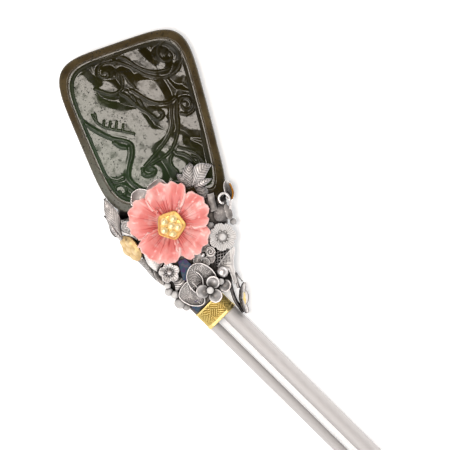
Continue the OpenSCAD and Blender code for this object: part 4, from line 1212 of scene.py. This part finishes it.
def section(wide, low, high):
    """A ring of the mount's body about its own middle: half width, bottom and top."""
    power = 3.6
    c, s = np.cos(turns(72)), np.sin(turns(72))
    x = wide * np.sign(c) * np.abs(c) ** (2 / power)
    z = (high + low) / 2 + (high - low) / 2 * np.sign(s) * np.abs(s) ** (2 / power)
    return np.stack([x, 0 * x, z], -1)


def mount_body():
    """The soldered core: the part inside the collar, the neck and the widening body up to the plaque."""
    rings = [section(wide, low, high) + np.array([0, along, 0]) for along, wide, low, high in NECK]
    along, middle, wide, high = np.transpose(BODY)
    for v in np.linspace(along[0], along[-1], 90):
        ring = section(np.interp(v, along, wide) + 0.07 * math.sin(v * 7), 0.0, np.interp(v, along, high))
        rings.append(head_to_pin(ring + np.array([np.interp(v, along, middle), v, 0])))
    return loft(rings)


def back_plate():
    """The plate that carries the plaque from behind."""
    u, v = np.transpose(PLATE_CORNERS)
    under_plaque = v > PLAQUE_MIDDLE - HALF_LENGTH
    rings = []
    for level, inset in PLATE_LEVELS:
        ring = np.stack([u - np.copysign(inset, u), v - inset * under_plaque, np.full(len(u), level)], -1)
        rings.append(head_to_pin(ring))
    return loft(rings)


def clasp(middle):
    """A cast post with a rounded head at one lower corner of the plaque."""
    rings = []
    for level, share in CLASP_LEVELS:
        rings.append(head_to_pin(oval(middle, CLASP_ACROSS * share, CLASP_ALONG * share, level, 40)))
    return loft(rings)


body_parts = [mount_body(), back_plate()] + [clasp(middle) for middle in CLASPS_AT]
piece("mount_body", body_parts, DARK_SILVER, place=place_pin, stands_for=("silver_mount",))


# Side flower, which stands on edge, and its arms

SIDE_LEAF = dict(
    left=[(9.75, 7.5), (10, 6.2), (10.6, 4.8)],
    right=[(9.85, 7.5), (10.5, 6.2), (10.75, 4.8)],
    levels=(5.6, 5.8, 5.6), tone=-0.9)
SIDE_FLOWER = dict(middle=(9.0, 0.9, 5.0), heading=-11.7, lean_y=83)
SIDE_PETALS = 5
SIDE_PETAL_RADIUS = 1.82
SIDE_PETAL_REACH = 2.05
SIDE_PETAL_CUP = 1.25


def side_petals(thickness, behind, tone):
    """Hollow petals in one plane, looking up along their own Z, every other one a little higher."""
    s, a = polar(14, 44)
    grid = disc(SIDE_PETAL_RADIUS, s, a, 0.04 * np.sin(a * 11) * s)
    grid[..., 0] += SIDE_PETAL_REACH
    share = np.hypot(grid[..., 0], grid[..., 1]) / (SIDE_PETAL_RADIUS + SIDE_PETAL_REACH)
    grid[..., 2] += SIDE_PETAL_CUP * share ** 2 - behind
    parts = []
    for k in range(SIDE_PETALS):
        for part in (thick(grid, thickness, tone, wrap=True), tube(grid[-1], 0.12, closed=True, tone=-0.4)):
            parts.append(pose(part, (0, 0, 0.1 * (k % 2)), heading=360 / SIDE_PETALS * k))
    return parts


arm_low = wire("arm_low", radius=0.5, tone=-1.3, sides=14)
arm_high = wire("arm_high", radius=0.42, tone=-0.2, sides=14)
piece("side_arms", [arm_low, arm_high, sheet(**SIDE_LEAF)], SILVER)

# Painted light and shade: the front petals are a light copy, and a thicker dark copy just behind them stands
# for the flower's shaded back.
side_parts = side_petals(thickness=0.1, behind=0.0, tone=0.7)
side_parts += side_petals(thickness=0.4, behind=0.14, tone=-1.3)
side_parts.append(tube([(0, 0, -0.3), (0, 0, 0.35)], 1.3, 16))
piece("side_flower", [pose(p, **SIDE_FLOWER) for p in side_parts], SILVER)
side_boss = pose(domed_rosette(radius=1.9, thickness=0.4, lobes=6, corner=0.08), (0, 0, 0.35))
side_boss = pose(side_boss, **SIDE_FLOWER)
piece("side_flower_boss", [side_boss], COLLAR_GOLD, stands_for=("side_flower_center",))


# Collar

NARROW_LIP, WIDE_LIP = 0.4, 0.85
LIP_HEIGHT = 0.13
END_BEVEL = 0.12
STROKE_DEPTH = 0.17
STROKE_CELL = 1.9


def stadium(count, wide, deep):
    """Points round a flat-sided oval, the ways out of it, and how far round it they are."""
    radius = deep / 2
    flat = wide - deep
    half = flat + np.pi * radius
    run = np.arange(count) / count * 2 * half
    side = np.where(run < half, 1, -1)
    straight = np.minimum(run % half, flat)
    angle = np.pi / 2 - (run % half - straight) / radius
    out = side * np.array([np.cos(angle), np.sin(angle)])
    return radius * out + np.array([side * (straight - flat / 2), 0 * run]), out, run


def collar_band():
    """An engraved band: a raised lip at each end and slanting strokes in turned groups between them."""
    rows, cols = 90, 400
    (x, z), (out_x, out_z), run = stadium(cols, COLLAR_WIDTH, COLLAR_DEPTH)
    y = np.linspace(-COLLAR_LENGTH / 2, COLLAR_LENGTH / 2, rows)[:, None]
    edge = COLLAR_LENGTH / 2 - np.abs(y)
    lip = np.where(y > 0, NARROW_LIP, WIDE_LIP)
    p, q = (run + y) / math.sqrt(2), (run - y) / math.sqrt(2)
    across = np.where((np.floor(p / STROKE_CELL) + np.floor(q / STROKE_CELL)) % 2, p, q)
    stroke = 0.5 + 0.5 * np.cos(2 * np.pi * across / (STROKE_CELL / 4))
    engraved = step(lip + 0.05, lip + 0.2, edge)
    sink = LIP_HEIGHT * step(lip - 0.12, lip + 0.06, edge) + END_BEVEL * (1 - step(0.0, 0.14, edge))
    sink = np.vstack([sink + STROKE_DEPTH * stroke ** 1.5 * engraved, np.full((2, cols), COLLAR_WALL)])
    tone = np.vstack([0.4 - 1.3 * stroke * engraved, np.zeros((2, cols))])
    y = np.vstack([y, y[-1:], y[:1]])
    z = z + COLLAR_DEPTH / 2 - out_z * sink
    return hoop(np.stack(np.broadcast_arrays(x - out_x * sink, y, z), -1), tone)


piece("engraved_collar", [collar_band()], COLLAR_GOLD, place_pin, stands_for=("gold_collar",))


# Pieces kept from the frame

def dress(node, finish):
    """Gives a piece of the frame its material."""
    kept = frame["nodes"][node]
    kept.data.materials.clear()
    kept.data.materials.append(finish)
    smooth(kept.data)
    return kept


dress("wide_prong", SATIN)
dress("slim_prong", SATIN_SLIM_SHADED)
for node in ("shell_inlay_large", "shell_inlay_small"):
    bevel = dress(node, SHELL).modifiers.new("soft_edges", "BEVEL")
    bevel.width = 0.15 * MM
    bevel.segments = 3


# Floor, lights and camera

TABLE_REACH = 3.0

# The camera: where it looks in pin millimetres, how far off it stands in metres, how it is turned, how it
# leans towards the head's right and top, and its lens
LOOK_AT = (17.04, 13.32, 4.0)
CAMERA_DISTANCE = 0.5
CAMERA_TURN = math.radians(-45.22)
CAMERA_LEAN = 0.06
CAMERA_LENS = 160.3

# Brightness of the light tent near the horizon and overhead, and the ramp's places between them
HORIZON = (0.40, (1.22, 1.22, 1.24, 1))
OVERHEAD = (0.80, (0.04, 0.04, 0.04, 1))

# A small softbox that the field's flats reflect: the place in the head that shows it, height, size and turn
FLATS_AT = (-1.0, 50)
FLATS_BOX_HEIGHT = 0.32
FLATS_BOX = dict(size=(0.075, 0.085), radiance=25.0, turn=-26.5, color=(1.0, 0.92, 0.85))

# The large softboxes: place, target and size in metres, and radiance
SOFTBOXES = {
    "left_softbox": ((-0.34, -0.02, 0.44), (0.0, 0.02, 0), (0.36, 0.34), 3.45),
    "right_strip": ((0.60, 0.02, 0.16), (0.05, 0.02, 0), (0.6, 0.16), 3.4),
    "back_strip": ((0.10, 0.62, 0.16), (0.02, 0.05, 0), (0.6, 0.14), 2.0),
    "front_strip": ((-0.10, -0.62, 0.20), (0.02, 0.0, 0), (0.6, 0.14), 2.0)}


def floor():
    """The table top that the pin lies on."""
    r = TABLE_REACH
    mesh = bpy.data.meshes.new("table_top")
    mesh.from_pydata([(-r, -r, 0), (r, -r, 0), (r, r, 0), (-r, r, 0)], [], [[0, 1, 2, 3]])
    mesh.materials.append(table_finish())
    link("table_top", mesh)


def world():
    """Bright near the horizon and darker overhead, as between the walls of a light tent."""
    sky = bpy.data.worlds.new("studio")
    sky.use_nodes = True
    tree = sky.node_tree
    where = tree.nodes.new("ShaderNodeTexCoord")
    split = tree.nodes.new("ShaderNodeSeparateXYZ")
    ramp = tree.nodes.new("ShaderNodeValToRGB")
    tree.links.new(where.outputs["Generated"], split.inputs[0])
    tree.links.new(split.outputs["Z"], ramp.inputs["Fac"])
    tree.links.new(ramp.outputs["Color"], tree.nodes["Background"].inputs["Color"])
    for element, (position, color) in zip(ramp.color_ramp.elements, (HORIZON, OVERHEAD)):
        element.position = position
        element.color = color
    tree.nodes["Background"].inputs["Strength"].default_value = 1.0
    bpy.context.scene.world = sky


def camera():
    """Seen from nearly straight above, with the prongs towards the lower right. Gives where it stands."""
    right = Vector((math.cos(CAMERA_TURN), math.sin(CAMERA_TURN), 0))
    head_right = Vector((math.cos(HEAD_LEAN), -math.sin(HEAD_LEAN), 0))
    head_up = Vector((math.sin(HEAD_LEAN), math.cos(HEAD_LEAN), 0))
    back = ((head_right + head_up) * CAMERA_LEAN + Vector((0, 0, 1))).normalized()
    side = (right - back * right.dot(back)).normalized()
    eye = Vector(place_pin(LOOK_AT)) + back * CAMERA_DISTANCE
    lens = bpy.data.cameras.new("camera")
    lens.sensor_width = 36
    lens.lens = CAMERA_LENS
    lens.clip_start = 0.01
    lens.clip_end = 20
    made = link("camera", lens)
    turn = Matrix((side, back.cross(side), back)).transposed().to_4x4()
    made.matrix_world = Matrix.Translation(eye) @ turn
    bpy.context.scene.camera = made
    return eye


def area_light(name, where, target, size, radiance, turn=0.0, color=(1.0, 0.98, 0.96)):
    """A soft box: its place, target and size in metres, and the radiance of its face."""
    lamp = bpy.data.lights.new(name, "AREA")
    lamp.shape = "RECTANGLE"
    lamp.size, lamp.size_y = size
    lamp.energy = radiance * math.pi * size[0] * size[1]
    lamp.color = color
    made = link(name, lamp)
    made.location = where
    made.rotation_mode = "QUATERNION"
    facing = (Vector(target) - made.location).to_track_quat("-Z", "Y")
    made.rotation_quaternion = facing @ Matrix.Rotation(math.radians(turn), 3, "Z").to_quaternion()
    made.visible_camera = False


def mirrored(eye, u, v, height):
    """Where a lamp at that height shows in the flat field at a place of the head."""
    place = Vector(place_head((u, v, PLAQUE_TOP - FIELD_DEPTH)))
    ray = place - eye
    return place + Vector((ray.x, ray.y, -ray.z)) * (height / -ray.z)


floor()
world()
eye = camera()
flats_box_at = mirrored(eye, *FLATS_AT, FLATS_BOX_HEIGHT)
area_light("flats_softbox", flats_box_at, place_head((*FLATS_AT, 4)), **FLATS_BOX)
for name, (where, target, size, radiance) in SOFTBOXES.items():
    area_light(name, where, target, size, radiance)

bpy.context.scene.view_settings.view_transform = "Standard"
